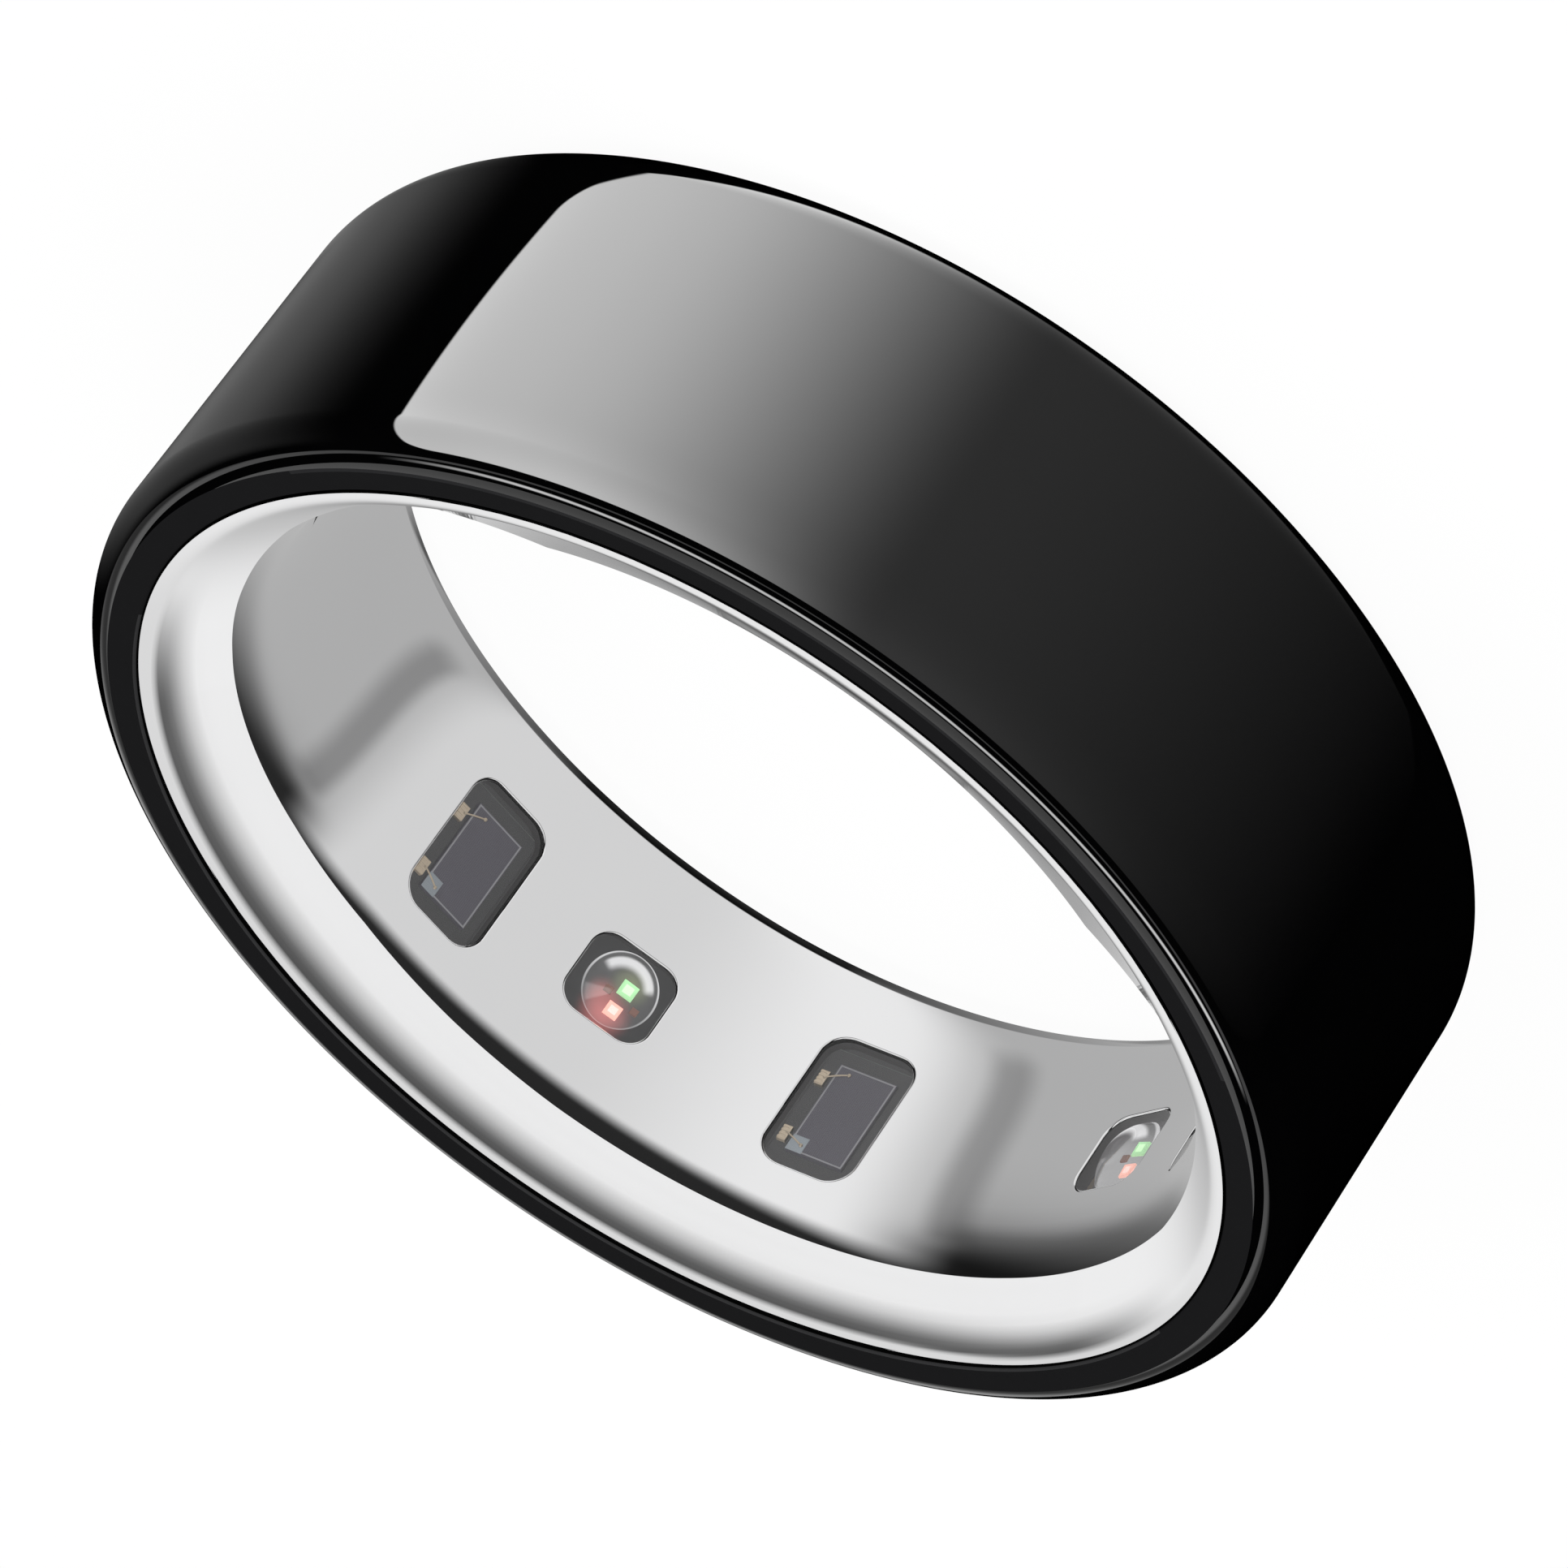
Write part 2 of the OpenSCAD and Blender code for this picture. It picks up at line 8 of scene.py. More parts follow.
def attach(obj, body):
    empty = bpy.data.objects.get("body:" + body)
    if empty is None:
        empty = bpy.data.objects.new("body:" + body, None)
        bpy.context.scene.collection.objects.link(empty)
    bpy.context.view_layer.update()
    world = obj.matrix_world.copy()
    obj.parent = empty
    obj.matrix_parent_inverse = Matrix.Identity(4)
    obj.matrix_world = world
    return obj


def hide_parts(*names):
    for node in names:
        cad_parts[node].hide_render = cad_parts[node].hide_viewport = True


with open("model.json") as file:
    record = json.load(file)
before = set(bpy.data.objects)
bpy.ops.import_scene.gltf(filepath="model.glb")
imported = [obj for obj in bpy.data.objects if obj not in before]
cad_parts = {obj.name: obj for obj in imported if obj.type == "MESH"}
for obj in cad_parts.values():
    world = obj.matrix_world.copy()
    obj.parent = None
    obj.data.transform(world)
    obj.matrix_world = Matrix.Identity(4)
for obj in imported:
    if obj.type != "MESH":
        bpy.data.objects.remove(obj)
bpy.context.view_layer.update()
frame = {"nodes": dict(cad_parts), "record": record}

bl_info = {
    "name": "Smart ring looks",
    "version": (1, 0, 0),
    "blender": (4, 5, 0),
    "location": "3D View > Sidebar > Ring",
    "description": "Builds the shown pieces and finishes of a smart ring on its packed model",
    "category": "Add Mesh",
}

MM = 0.001
DETECTOR_PLACES = (66.2, 117.2, 181.6)
LAMP_PLACES = (88.2, 158.6)
SENSOR_LEVEL = 3.82
# the camera: degrees, and metres from the finger's middle line at half the band's width
CAMERA_RISE, CAMERA_ROLL = 30.034, 215.110
CAMERA_PLACE = (-0.0000170, -0.121956, 0.070189)
# how many millimetres a mirrored ray may go and still meet the card round the band
CARD_REACH = 9.0
# how far the finger hole's polished wall leans, in degrees, at heights in millimetres
LEAN = ((0.71, -16.0), (1.0, -12.5), (1.3, -9.4), (1.5, -7.6), (1.7, -6.0), (1.9, -4.9), (2.1, -3.9),
        (2.35, -3.0), (2.75, -1.9), (3.15, -1.1), (3.55, -0.6), (3.95, 0.0), (4.35, 0.7), (4.75, 1.5),
        (5.15, 2.8), (5.55, 4.9), (5.7, 6.4), (5.85, 8.5), (6.0, 11.3), (6.15, 14.5), (6.3, 17.5),
        (6.45, 20.0), (6.6, 22.0), (6.72, 24.0))
# the front flare and lip: radius and height
FLARE = ((10.10, 6.72), (10.25, 6.891), (10.40, 7.062), (10.55, 7.233), (10.70, 7.40), (10.82, 7.53),
         (10.90, 7.61), (10.97, 7.673), (11.04, 7.723), (11.10, 7.757), (11.16, 7.779), (11.20, 7.787),
         (11.25, 7.792), (11.315, 7.793))
# the stretch between bore and crease where the ring is nearest the viewer: radius, height and lean
NEAR_BEAD = ((9.9, 5.7, 6.4), (9.9, 6.2, 8.5), (9.9, 6.6, 11.3), (9.9, 6.9, 20.0), (9.9, 7.08, 35.0),
             (9.91, 7.17, 60.0), (9.95, 7.21, 85.0), (10.05, 7.2, 90.0))
# how far the crease is moved outward and along the finger, by angle
CREASE_SHIFT = ((-180, (0.23, 0.0)), (-165, (0.19, 0.0)), (-155, (0.14, 0.0)), (-147, (0.05, 0.0)), (-140, (0.0, 0.0)),
                (-40, (0.0, 0.0)), (-33, (0.03, 0.0)), (-25, (0.08, 0.0)), (-15, (0.11, 0.0)), (-5, (0.06, 0.01)),
                (0, (0.03, 0.02)), (15, (0.0, -0.10)), (30, (0.0, -0.18)), (45, (0.0, -0.25)), (60, (0.0, -0.25)),
                (75, (0.0, -0.14)), (90, (0.0, -0.07)), (120, (0.0, -0.02)), (150, (0.04, 0.0)), (165, (0.12, 0.0)),
                (180, (0.23, 0.0)))
# the flare's painted shadow where the ring is nearest the viewer, by degrees from there: how light it stays,
# and the radii between which it ends
NEAR_SHADOW = ((0, (0.04, 10.1, 11.1)), (20, (0.2, 10.7, 11.15)), (40, (0.2, 10.95, 11.2)), (60, (0.5, 11.0, 11.25)),
               (90, (0.8, 11.0, 11.3)))
REAR_LIP = ((10.13, 0.71, -20.0), (10.135, 0.69, -20.0), (10.15, 0.53, -30.0), (10.20, 0.51, -50.0),
            (10.60, 0.32, -52.0), (10.90, 0.15, -56.0), (10.98, 0.07, -66.0),
            (11.05, 0.025, -85.0), (11.16, 0.03, -100.0), (11.30, 0.06, -104.0))


# ---------------------------------------------------------------- mesh making

class Shape:
    """Collects points in millimetres, faces, a normal for each face corner, and a flat map."""

    def __init__(self):
        self.points, self.known = [], {}
        self.faces, self.normals, self.slots, self.maps = [], [], [], []

    def point(self, place):
        key = tuple(round(value, 5) for value in place)
        if key not in self.known:
            self.known[key] = len(self.points)
            self.points.append(tuple(value * MM for value in place))
        return self.known[key]

    def face(self, places, normals, slot=0, flat=None):
        """Adds one face, turned to the side that its normals say, and leaves out a flat one."""
        ids = [self.point(place) for place in places]
        flat = flat or [(0.0, 0.0)] * len(ids)
        rows = [row for k, row in enumerate(zip(ids, normals, flat)) if row[0] != ids[k - 1]]
        if len({row[0] for row in rows}) < 3:
            return
        corners = [Vector(self.points[row[0]]) for row in rows]
        facing = geometry.normal(corners)
        wanted = sum((Vector(row[1]) for row in rows), Vector())
        if facing.dot(wanted) < 0:
            rows.reverse()
        self.faces.append([row[0] for row in rows])
        self.normals.extend(Vector(row[1]).normalized() for row in rows)
        self.maps.extend(row[2] for row in rows)
        self.slots.append(slot)

    def build(self, name, materials):
        mesh = bpy.data.meshes.new(name)
        mesh.from_pydata(self.points, [], self.faces)
        for material in materials:
            mesh.materials.append(material)
        mesh.polygons.foreach_set("material_index", self.slots)
        mesh.polygons.foreach_set("use_smooth", [True] * len(self.faces))
        layer = mesh.uv_layers.new(name="flat")
        layer.data.foreach_set("uv", [value for pair in self.maps for value in pair])
        mesh.normals_split_custom_set(self.normals)
        mesh.update()
        piece = bpy.data.objects.new(name, mesh)
        bpy.context.scene.collection.objects.link(piece)
        return piece


def turned(angle, x, y, z):
    """Local outward x, sideways y and along-the-finger z, put at an angle round the finger."""
    c, s = math.cos(math.radians(angle)), math.sin(math.radians(angle))
    return (x * c - y * s, x * s + y * c, z)


def arc(centre_r, centre_z, radius, start, end, steps, inward=1):
    """Points of a round edge, with their normals; angles are measured from the outward direction."""
    rows = []
    for k in range(steps + 1):
        a = math.radians(start + (end - start) * k / steps)
        c, s = math.cos(a), math.sin(a)
        rows.append((centre_r + radius * c, centre_z + radius * s, c * inward, s * inward))
    return rows


def straight(r0, z0, r1, z1, normal):
    return [(r0, z0) + normal, (r1, z1) + normal]


def mirrored(rows, width):
    return [(r, width - z, nr, -nz) for r, z, nr, nz in reversed(rows)]


def lathe(shape, runs, angles, skip=None):
    """Turns profile runs round the finger; skip says which stretch of a run is left open."""
    for number, (rows, slot) in enumerate(runs):
        for k in range(len(rows) - 1):
            for a, b in zip(angles, angles[1:]):
                if skip and skip(number, (a + b) / 2):
                    continue
                corners = ((rows[k], a), (rows[k + 1], a), (rows[k + 1], b), (rows[k], b))
                shape.face([turned(g, row[0], 0, row[1]) for row, g in corners],
                           [turned(g, row[2], 0, row[3]) for row, g in corners], slot)


def rounded_outline(half_y, half_z, corner, steps=10):
    """A rounded rectangle as points with their outward directions."""
    rows = []
    for sy, sz, start in ((1, 1, 0), (-1, 1, 90), (-1, -1, 180), (1, -1, 270)):
        for k in range(steps + 1):
            a = math.radians(start + 90 * k / steps)
            rows.append((sy * (half_y - corner) + corner * math.cos(a),
                         sz * (half_z - corner) + corner * math.sin(a), math.cos(a), math.sin(a)))
    return rows


def lean_at(height):
    for (z0, a), (z1, b) in zip(LEAN, LEAN[1:]):
        if height <= z1:
            return a + (b - a) * max(0.0, (height - z0) / (z1 - z0))
    return LEAN[-1][1]


def between(table, place):
    """Straight steps between the rows of a table of places and values."""
    for (p, one), (q, two) in zip(table, table[1:]):
        if place <= q:
            share = max(0.0, (place - p) / (q - p))
            return [a + (b - a) * share for a, b in zip(one, two)]
    return list(table[-1][1])


def leaning(radius, height, lean):
    """A profile point that faces the finger and leans by an angle."""
    a = math.radians(lean)
    return (radius, height, -math.cos(a), math.sin(a))


def bore_radius(height):
    if height > 5.7:
        return 9.9 + 0.20 * ((height - 5.7) / 1.02) ** 2
    return 9.9 + 0.23 * (max(0.0, 1.9 - height) / 1.19) ** 2


def soft(value, low, high):
    share = min(1.0, max(0.0, (value - low) / (high - low)))
    return share * share * (3 - 2 * share)


def flare_light(turn, radius):
    """How light the flare is, as painted shade in the sleeve's colour: a painted dark hollow on the far side, a
    painted shadow that runs up to the lip on the near side.
    """
    turn = (turn + 90) % 360 - 90
    deep = 0.9 * soft(turn, -8, 22) * soft(turn, 184, 158)
    middle = 11.0 + 0.12 * soft(turn, 125, 160)
    hollow = soft(radius, middle - 0.5, middle - 0.02) * soft(radius, middle + 0.15, middle + 0.03)
    far = 1 - deep * hollow - 0.2 * soft(radius, middle, middle + 0.15)
    light, start, end = between(NEAR_SHADOW, min(turn + 90, 270 - turn))
    near = light + (0.94 - light) * soft(radius, start, end)
    return near + (far - near) * soft(math.sin(math.radians(turn)), -0.3, 0.15)


def front_section(angle, shift):
    """The sleeve's bead, and its flare with the lip, at one angle. Each point ends with how much painted shade darkens
    it.
    """
    turn = (angle + 180) % 360 - 180
    near = max(0.0, 1 - ((turn + 90) / 57) ** 2)
    out, along = between(CREASE_SHIFT, turn)
    shades = [flare_light(turn, r) for r, z in FLARE]
    bead, flare = [], []
    rows = [(bore_radius(z), z, lean) for z, lean in LEAN if z >= 5.7]
    for k, (here, there) in enumerate(zip(rows, NEAR_BEAD)):
        high = near if k == 7 else min(1.0, 1.6 * near)
        r, z, lean = (a + (b - a) * high for a, b in zip(here, there))
        # Painted shade: the bead's rows nearest the crease are darkened where the ring is nearest the viewer.
        dark = (0, 0, 0, 0, min(0.75, max(0.0, 3 * near - 1.05)), min(0.75, max(0.0, 3 * near - 1.05)),
                0.55 * min(1.0, 1.5 * near), near * (1 - shades[0]))[k]
        bead.append(leaning(r + out * k / 7 + shift, z + along * k / 7, lean) + (dark,))
    for (r, z), shade in zip(FLARE, shades):
        share = max(0.0, (11.16 - r) / 1.06)
        if share:
            r += (11.16 - 1.11 * share - r) * near + out * share
            z += (7.779 - 0.579 * share - z) * near + along * share
        else:
            wider = (r - 11.16) * 0.58 * math.cos(math.radians(turn)) ** 4
            r, z = r + wider, z + 0.35 * wider
        flare.append(leaning(r + shift, z, 90.0) + (1 - shade,))
    return bead, flare


def sweep(shape, angles, section, slot=0):
    """Faces between the profiles at neighbouring angles; the flat map carries how much painted shade darkens each
    point.
    """
    cuts = [section(angle) for angle in angles]
    for a, b, one, two in zip(angles, angles[1:], cuts, cuts[1:]):
        for rows, others in zip(one, two):
            for k in range(len(rows) - 1):
                four = ((rows[k], a), (rows[k + 1], a), (others[k + 1], b), (others[k], b))
                shape.face([turned(g, row[0], 0, row[1]) for row, g in four],
                           [turned(g, row[2], 0, row[3]) for row, g in four], slot, [(row[4], 0.0) for row, g in four])


def on_round(radius, y):
    return math.sqrt(radius * radius - y * y)


def ring_of(angle, outline, radius, grow, depth, tilt, inward):
    """One loop round a window: its points, and normals between the sleeve's face and the wall."""
    places, normals = [], []
    for y, z, ny, nz in outline:
        y, z = y + grow * ny, z + grow * nz
        x = on_round(radius, y)
        places.append(turned(angle, x + depth, y, z))
        c, s = math.cos(tilt), math.sin(tilt)
        up = math.sin(math.radians(lean_at(z))) * c
        normals.append(turned(angle, inward * x / radius * c, inward * y / radius * c - ny * s, up - nz * s))
    return places, normals


def skin_between(shape, first, second, slot=0):
    for k in range(len(first[0])):
        shape.face([first[0][k - 1], first[0][k], second[0][k], second[0][k - 1]],
                   [first[1][k - 1], first[1][k], second[1][k], second[1][k - 1]], slot)


def open_patch(shape, angle, reach, columns, heights, radius, outline, grow, inward, slot=0):
    """The stretch of sleeve round one window, from its straight edges to the window's outline."""
    turns = [angle - reach + 2 * reach * k / columns for k in range(columns + 1)]
    outer = [(a, heights[0]) for a in turns] + [(turns[-1], z) for z in heights[1:-1]]
    outer += [(a, heights[-1]) for a in reversed(turns)] + [(turns[0], z) for z in reversed(heights[1:-1])]
    inner = []
    for y, z, ny, nz in outline:
        y, z = y + grow * ny, z + grow * nz
        inner.append((angle + math.degrees(math.asin(y / radius)), z))
    half_y = max(abs(a - angle) for a, z in inner) + 0.5
    low, high = min(z for a, z in inner) - 0.08, max(z for a, z in inner) + 0.08
    loose = [(a, z) for a in turns[2:-2:3] for z in heights[1:-1]
             if abs(a - angle) > half_y or not low < z < high]
    spots = outer + inner + loose
    flat = [Vector((math.radians(a - angle) * radius, z)) for a, z in spots]
    edges = [(k, (k + 1) % len(outer)) for k in range(len(outer))]
    edges += [(len(outer) + k, len(outer) + (k + 1) % len(inner)) for k in range(len(inner))]
    found = geometry.delaunay_2d_cdt(flat, edges, [], 0, 1e-7)
    source = [ids[0] for ids in found[3]]
    hole = range(len(outer), len(outer) + len(inner))
    for corners in found[2]:
        ids = [source[k] for k in corners]
        if all(k in hole for k in ids):
            continue
        rows = [leaning(radius, spots[k][1], lean_at(spots[k][1])) if inward < 0
                else (radius, spots[k][1], 1, 0) for k in ids]
        shape.face([turned(spots[k][0], radius, 0, spots[k][1]) for k in ids],
                   [turned(spots[k][0], row[2], 0, row[3]) for k, row in zip(ids, rows)], slot)


def capped(shape, angle, outline, middle_z, radius, grow, inward, slot=0, rings=8):
    """A curved face filled from its outline to its middle, for a window's front or back."""
    last = None
    for step in range(rings, -1, -1):
        share = step / rings
        places, normals = [], []
        for y, z, ny, nz in outline:
            y, z = (y + grow * ny) * share, middle_z + (z + grow * nz - middle_z) * share
            x = on_round(radius, y)
            places.append(turned(angle, x, y, z))
            normals.append(turned(angle, inward * x / radius, inward * y / radius, 0))
        if last:
            skin_between(shape, last, (places, normals), slot)
        last = (places, normals)


def slab(shape, angle, x_top, x_bottom, y, z, width, height, bevel=0.015, slot=0):
    """A thin plate that lies across the outward direction, with small chamfers and a flat map.
    Its top is the side nearer the finger. The map gives millimetres from its middle."""
    def loop(inset, x):
        corners = ((-1, -1), (1, -1), (1, 1), (-1, 1))
        rows = [(sy * (width / 2 - inset), sz * (height / 2 - inset)) for sy, sz in corners]
        return [(turned(angle, x, y + a, z + b), (a, b)) for a, b in rows]

    def direction(x, a, b):
        return turned(angle, x, a, b)

    top, edge, foot = loop(bevel, x_top), loop(0, x_top + bevel), loop(0, x_bottom)
    sides = (direction(0, 0, -1), direction(0, 1, 0), direction(0, 0, 1), direction(0, -1, 0))
    front, back = direction(-1, 0, 0), direction(1, 0, 0)

    def put(rows, normal):
        shape.face([row[0] for row in rows], [normal] * len(rows), slot,
                   [(row[1][0] / 4 + 0.5, row[1][1] / 4 + 0.5) for row in rows])

    put(top, front)
    put(foot, back)
    for k in range(4):
        n = (k + 1) % 4
        slope = tuple(p + q for p, q in zip(sides[k], front))
        put([top[k], top[n], edge[n], edge[k]], slope)
        put([edge[k], edge[n], foot[n], foot[k]], sides[k])


def ball(shape, centre, radius, slot=0, around=14, rows=8):
    middle = Vector(centre)

    def spot(i, j):
        a, b = 2 * math.pi * i / around, math.pi * j / rows
        n = Vector((math.sin(b) * math.cos(a), math.sin(b) * math.sin(a), math.cos(b)))
        return tuple(middle + n * radius), tuple(n)

    for j in range(rows):
        for i in range(around):
            four = [spot(i, j), spot(i + 1, j), spot(i + 1, j + 1), spot(i, j + 1)]
            shape.face([row[0] for row in four], [row[1] for row in four], slot)


def wire(shape, path, radius, slot=0, around=10):
    """A round wire along a path, closed by its end balls."""
    path = [Vector(place) for place in path]
    loops = []
    side = None
    for k, here in enumerate(path):
        ahead = (path[min(k + 1, len(path) - 1)] - path[max(k - 1, 0)]).normalized()
        side = ahead.orthogonal() if side is None else side - ahead * side.dot(ahead)
        side.normalize()
        third = ahead.cross(side)
        turn = [2 * math.pi * i / around for i in range(around)]
        normals = [side * math.cos(a) + third * math.sin(a) for a in turn]
        loops.append(([tuple(here + n * radius) for n in normals], [tuple(n) for n in normals]))
    for first, second in zip(loops, loops[1:]):
        skin_between(shape, first, second, slot)


# ------------------------------------------------------------- material making

class Nodes:
    """Adds nodes to one tree and wires them; a plain value is set on the socket itself."""

    def __init__(self, tree):
        self.tree = tree

    def add(self, kind, settings=None, **inputs):
        node = self.tree.nodes.new("ShaderNode" + kind)
        for name, value in (settings or {}).items():
            setattr(node, name, value)
        for name, value in inputs.items():
            self.put(node.inputs[name.replace("_", " ")], value)
        return node

    def put(self, socket, value):
        if isinstance(value, bpy.types.NodeSocket):
            self.tree.links.new(value, socket)
        elif isinstance(value, tuple) and len(value) == 3 and len(socket.default_value) == 4:
            socket.default_value = value + (1.0,)
        else:
            socket.default_value = value

    def sum(self, operation, *values):
        node = self.add("Math", {"operation": operation})
        for socket, value in zip(node.inputs, values):
            self.put(socket, value)
        return node.outputs[0]

    def plus(self, first, second):
        return self.sum("ADD", first, second)

    def minus(self, first, second):
        return self.sum("SUBTRACT", first, second)

    def times(self, first, second):
        return self.sum("MULTIPLY", first, second)

    def scaled(self, value, factor, offset):
        return self.sum("MULTIPLY_ADD", value, factor, offset)

    def length(self, first, second):
        """The root of two squares added."""
        return self.sum("SQRT", self.plus(self.times(first, first), self.times(second, second)))

    def step(self, value, low, high, start=0.0, end=1.0):
        """Goes softly from start to end while value goes from low to high."""
        node = self.add("MapRange", {"interpolation_type": "SMOOTHSTEP"})
        for name, put in (("Value", value), ("From Min", low), ("From Max", high),
                          ("To Min", start), ("To Max", end)):
            self.put(node.inputs[name], put)
        return node.outputs[0]

    def hump(self, value, low, rise, fall, high):
        return self.sum("MULTIPLY", self.step(value, low, rise), self.step(value, fall, high, 1.0, 0.0))

    def mix(self, share, first, second):
        node = self.add("Mix", {"data_type": "RGBA"})
        self.put(node.inputs[0], share)
        self.put(node.inputs[6], first)
        self.put(node.inputs[7], second)
        return node.outputs[2]


def group(name, inputs, outputs, fill):
    """Makes a shader node group once. inputs are (name, kind, default), outputs are (name, kind)."""
    if name in bpy.data.node_groups:
        return bpy.data.node_groups[name]
    tree = bpy.data.node_groups.new(name, "ShaderNodeTree")
    for label, kind, default in inputs:
        socket = tree.interface.new_socket(name=label, in_out="INPUT", socket_type="NodeSocket" + kind)
        if default is not None:
            socket.default_value = default
    for label, kind in outputs:
        tree.interface.new_socket(name=label, in_out="OUTPUT", socket_type="NodeSocket" + kind)
    nodes = Nodes(tree)
    start, end = tree.nodes.new("NodeGroupInput"), tree.nodes.new("NodeGroupOutput")
    for label, value in fill(nodes, start.outputs).items():
        tree.links.new(value, end.inputs[label])
    return tree


def polish_group():
    """Fine polishing lines round the finger and a faint cloudiness, as on handled metal."""
    def fill(n, given):
        stretched = n.add("Mapping", Vector=given["Place"], Scale=(60.0, 60.0, 9000.0))
        lines = n.add("TexNoise", Vector=stretched.outputs[0], Scale=1.0, Detail=3.0)
        cloud = n.add("TexNoise", Vector=given["Place"], Scale=given["Cloud Scale"], Detail=4.0)
        both = n.plus(n.times(lines.outputs[0], given["Lines"]),
                      n.times(cloud.outputs[0], n.minus(1.0, given["Lines"])))
        height = n.times(both, given["Depth"])
        return {"Cloud": cloud.outputs[0], "Lines": lines.outputs[0], "Height": height}
    return group("fine_polish", (("Place", "Vector", None), ("Cloud Scale", "Float", 260.0),
                                 ("Lines", "Float", 0.5), ("Depth", "Float", 1.0)),
                 (("Cloud", "Float"), ("Lines", "Float"), ("Height", "Float")), fill)


def grain_group():
    """Moulded or fired grain: small uneven cells with larger soft patches."""
    def fill(n, given):
        fine = n.add("TexNoise", Vector=given["Place"], Scale=given["Grain Scale"], Detail=6.0)
        cells = n.add("TexVoronoi", Vector=given["Place"], Scale=given["Grain Scale"])
        patch = n.add("TexNoise", Vector=given["Place"], Scale=n.times(given["Grain Scale"], 0.12))
        mask = n.plus(n.times(fine.outputs[0], 0.6), n.times(patch.outputs[0], 0.4))
        return {"Mask": mask, "Height": n.minus(fine.outputs[0], n.times(cells.outputs["Distance"], 0.4))}
    return group("fine_grain", (("Place", "Vector", None), ("Grain Scale", "Float", 9000.0)),
                 (("Mask", "Float"), ("Height", "Float")), fill)


def outline_group():
    """A thin line just inside a plate's edge and fine strips across it. Sizes are in millimetres."""
    def fill(n, given):
        parts = n.add("SeparateXYZ", Vector=given["Map"])
        away = []
        for axis, size in (("X", "Width"), ("Y", "Height")):
            middle = n.times(n.minus(parts.outputs[axis], 0.5), 4.0)
            away.append(n.minus(n.times(given[size], 0.5), n.sum("ABSOLUTE", middle)))
        near = n.sum("MINIMUM", away[0], away[1])
        off = n.sum("ABSOLUTE", n.minus(near, given["Inset"]))
        line = n.step(off, n.times(given["Line"], 0.35), n.times(given["Line"], 0.65), 1.0, 0.0)
        run = n.times(parts.outputs["X"], n.sum("DIVIDE", 25.13, given["Pitch"]))
        strips = n.scaled(n.sum("SINE", run), 0.5, 0.5)
        return {"Line": line, "Strips": strips, "Inside": n.step(near, given["Inset"], n.plus(given["Inset"], 0.02))}
    return group("plate_outline", (("Map", "Vector", None), ("Width", "Float", 1.0), ("Height", "Float", 1.0),
                                   ("Inset", "Float", 0.03), ("Line", "Float", 0.025), ("Pitch", "Float", 0.06)),
                 (("Line", "Float"), ("Strips", "Float"), ("Inside", "Float")), fill)


def glow_group():
    """A soft round painted glow on a plate's flat map, for light that spills from a lit chip."""
    def fill(n, given):
        parts = n.add("SeparateXYZ", Vector=given["Map"])
        y = n.minus(n.times(n.minus(parts.outputs["X"], 0.5), 4.0), given["Across"])
        z = n.minus(n.times(n.minus(parts.outputs["Y"], 0.5), 4.0), given["Along"])
        far = n.length(y, z)
        return {"Glow": n.step(far, 0.0, given["Reach"], 1.0, 0.0)}
    return group("lamp_glow", (("Map", "Vector", None), ("Across", "Float", 0.0), ("Along", "Float", 0.0),
                               ("Reach", "Float", 0.5)), (("Glow", "Float"),), fill)


def placed(n, tree, **values):
    """Puts a group into a material with its own values."""
    node = n.tree.nodes.new("ShaderNodeGroup")
    node.node_tree = tree
    for name, value in values.items():
        n.put(node.inputs[name.replace("_", " ")], value)
    return node.outputs


def blank(name):
    material = bpy.data.materials.get(name) or bpy.data.materials.new(name)
    material.use_nodes = True
    material.node_tree.nodes.clear()
    n = Nodes(material.node_tree)
    return material, n, n.add("BsdfPrincipled"), n.add("OutputMaterial")


def finish_with(n, shader, out, **values):
    for name, value in values.items():
        n.put(shader.inputs[name.replace("_", " ")], value)
    n.tree.links.new(shader.outputs[0], out.inputs[0])


def object_place(n):
    return n.add("TexCoord").outputs["Object"]


def bumped(n, height, strength, distance):
    return n.add("Bump", Height=height, Strength=strength, Distance=distance).outputs[0]


def spread(n, mask, low, high):
    """A value that moves between low and high with a mask."""
    return n.scaled(mask, high - low, low)


def metal_finish(name, colour, rough, lines, depth, cloud=260.0, shade=0.94, shaded=False):
    """Polished or brushed metal; when shaded, painted shade from its flat map darkens the colour."""
    material, n, shader, out = blank(name)
    marks = placed(n, polish_group(), Place=object_place(n), Cloud_Scale=cloud, Lines=lines, Depth=1.0)
    dark = tuple(value * shade for value in colour)
    base = n.mix(marks["Cloud"], dark, colour)
    if shaded:
        base = n.mix(n.add("SeparateXYZ", Vector=flat_map(n)).outputs["X"], base, (0.0, 0.0, 0.0))
    finish_with(n, shader, out, Base_Color=base, Metallic=1.0,
                Roughness=spread(n, marks["Lines"], rough * 0.8, rough * 1.2),
                Normal=bumped(n, marks["Height"], depth, 0.00001))
    return material


def body_finish(name, colour, rough, grain=9000.0, depth=0.2, shade=0.75, coat=0.0, shine=0.5):
    """Plastic, ceramic or film: two shades of one colour in a fine grain."""
    material, n, shader, out = blank(name)
    shader.inputs["Specular IOR Level"].default_value = shine
    marks = placed(n, grain_group(), Place=object_place(n), Grain_Scale=grain)
    dark = tuple(value * shade for value in colour)
    finish_with(n, shader, out, Base_Color=n.mix(marks["Mask"], dark, colour), Coat_Weight=coat,
                Roughness=spread(n, marks["Mask"], rough * 0.85, min(1.0, rough * 1.15)),
                Normal=bumped(n, marks["Height"], depth, 0.00001))
    return material


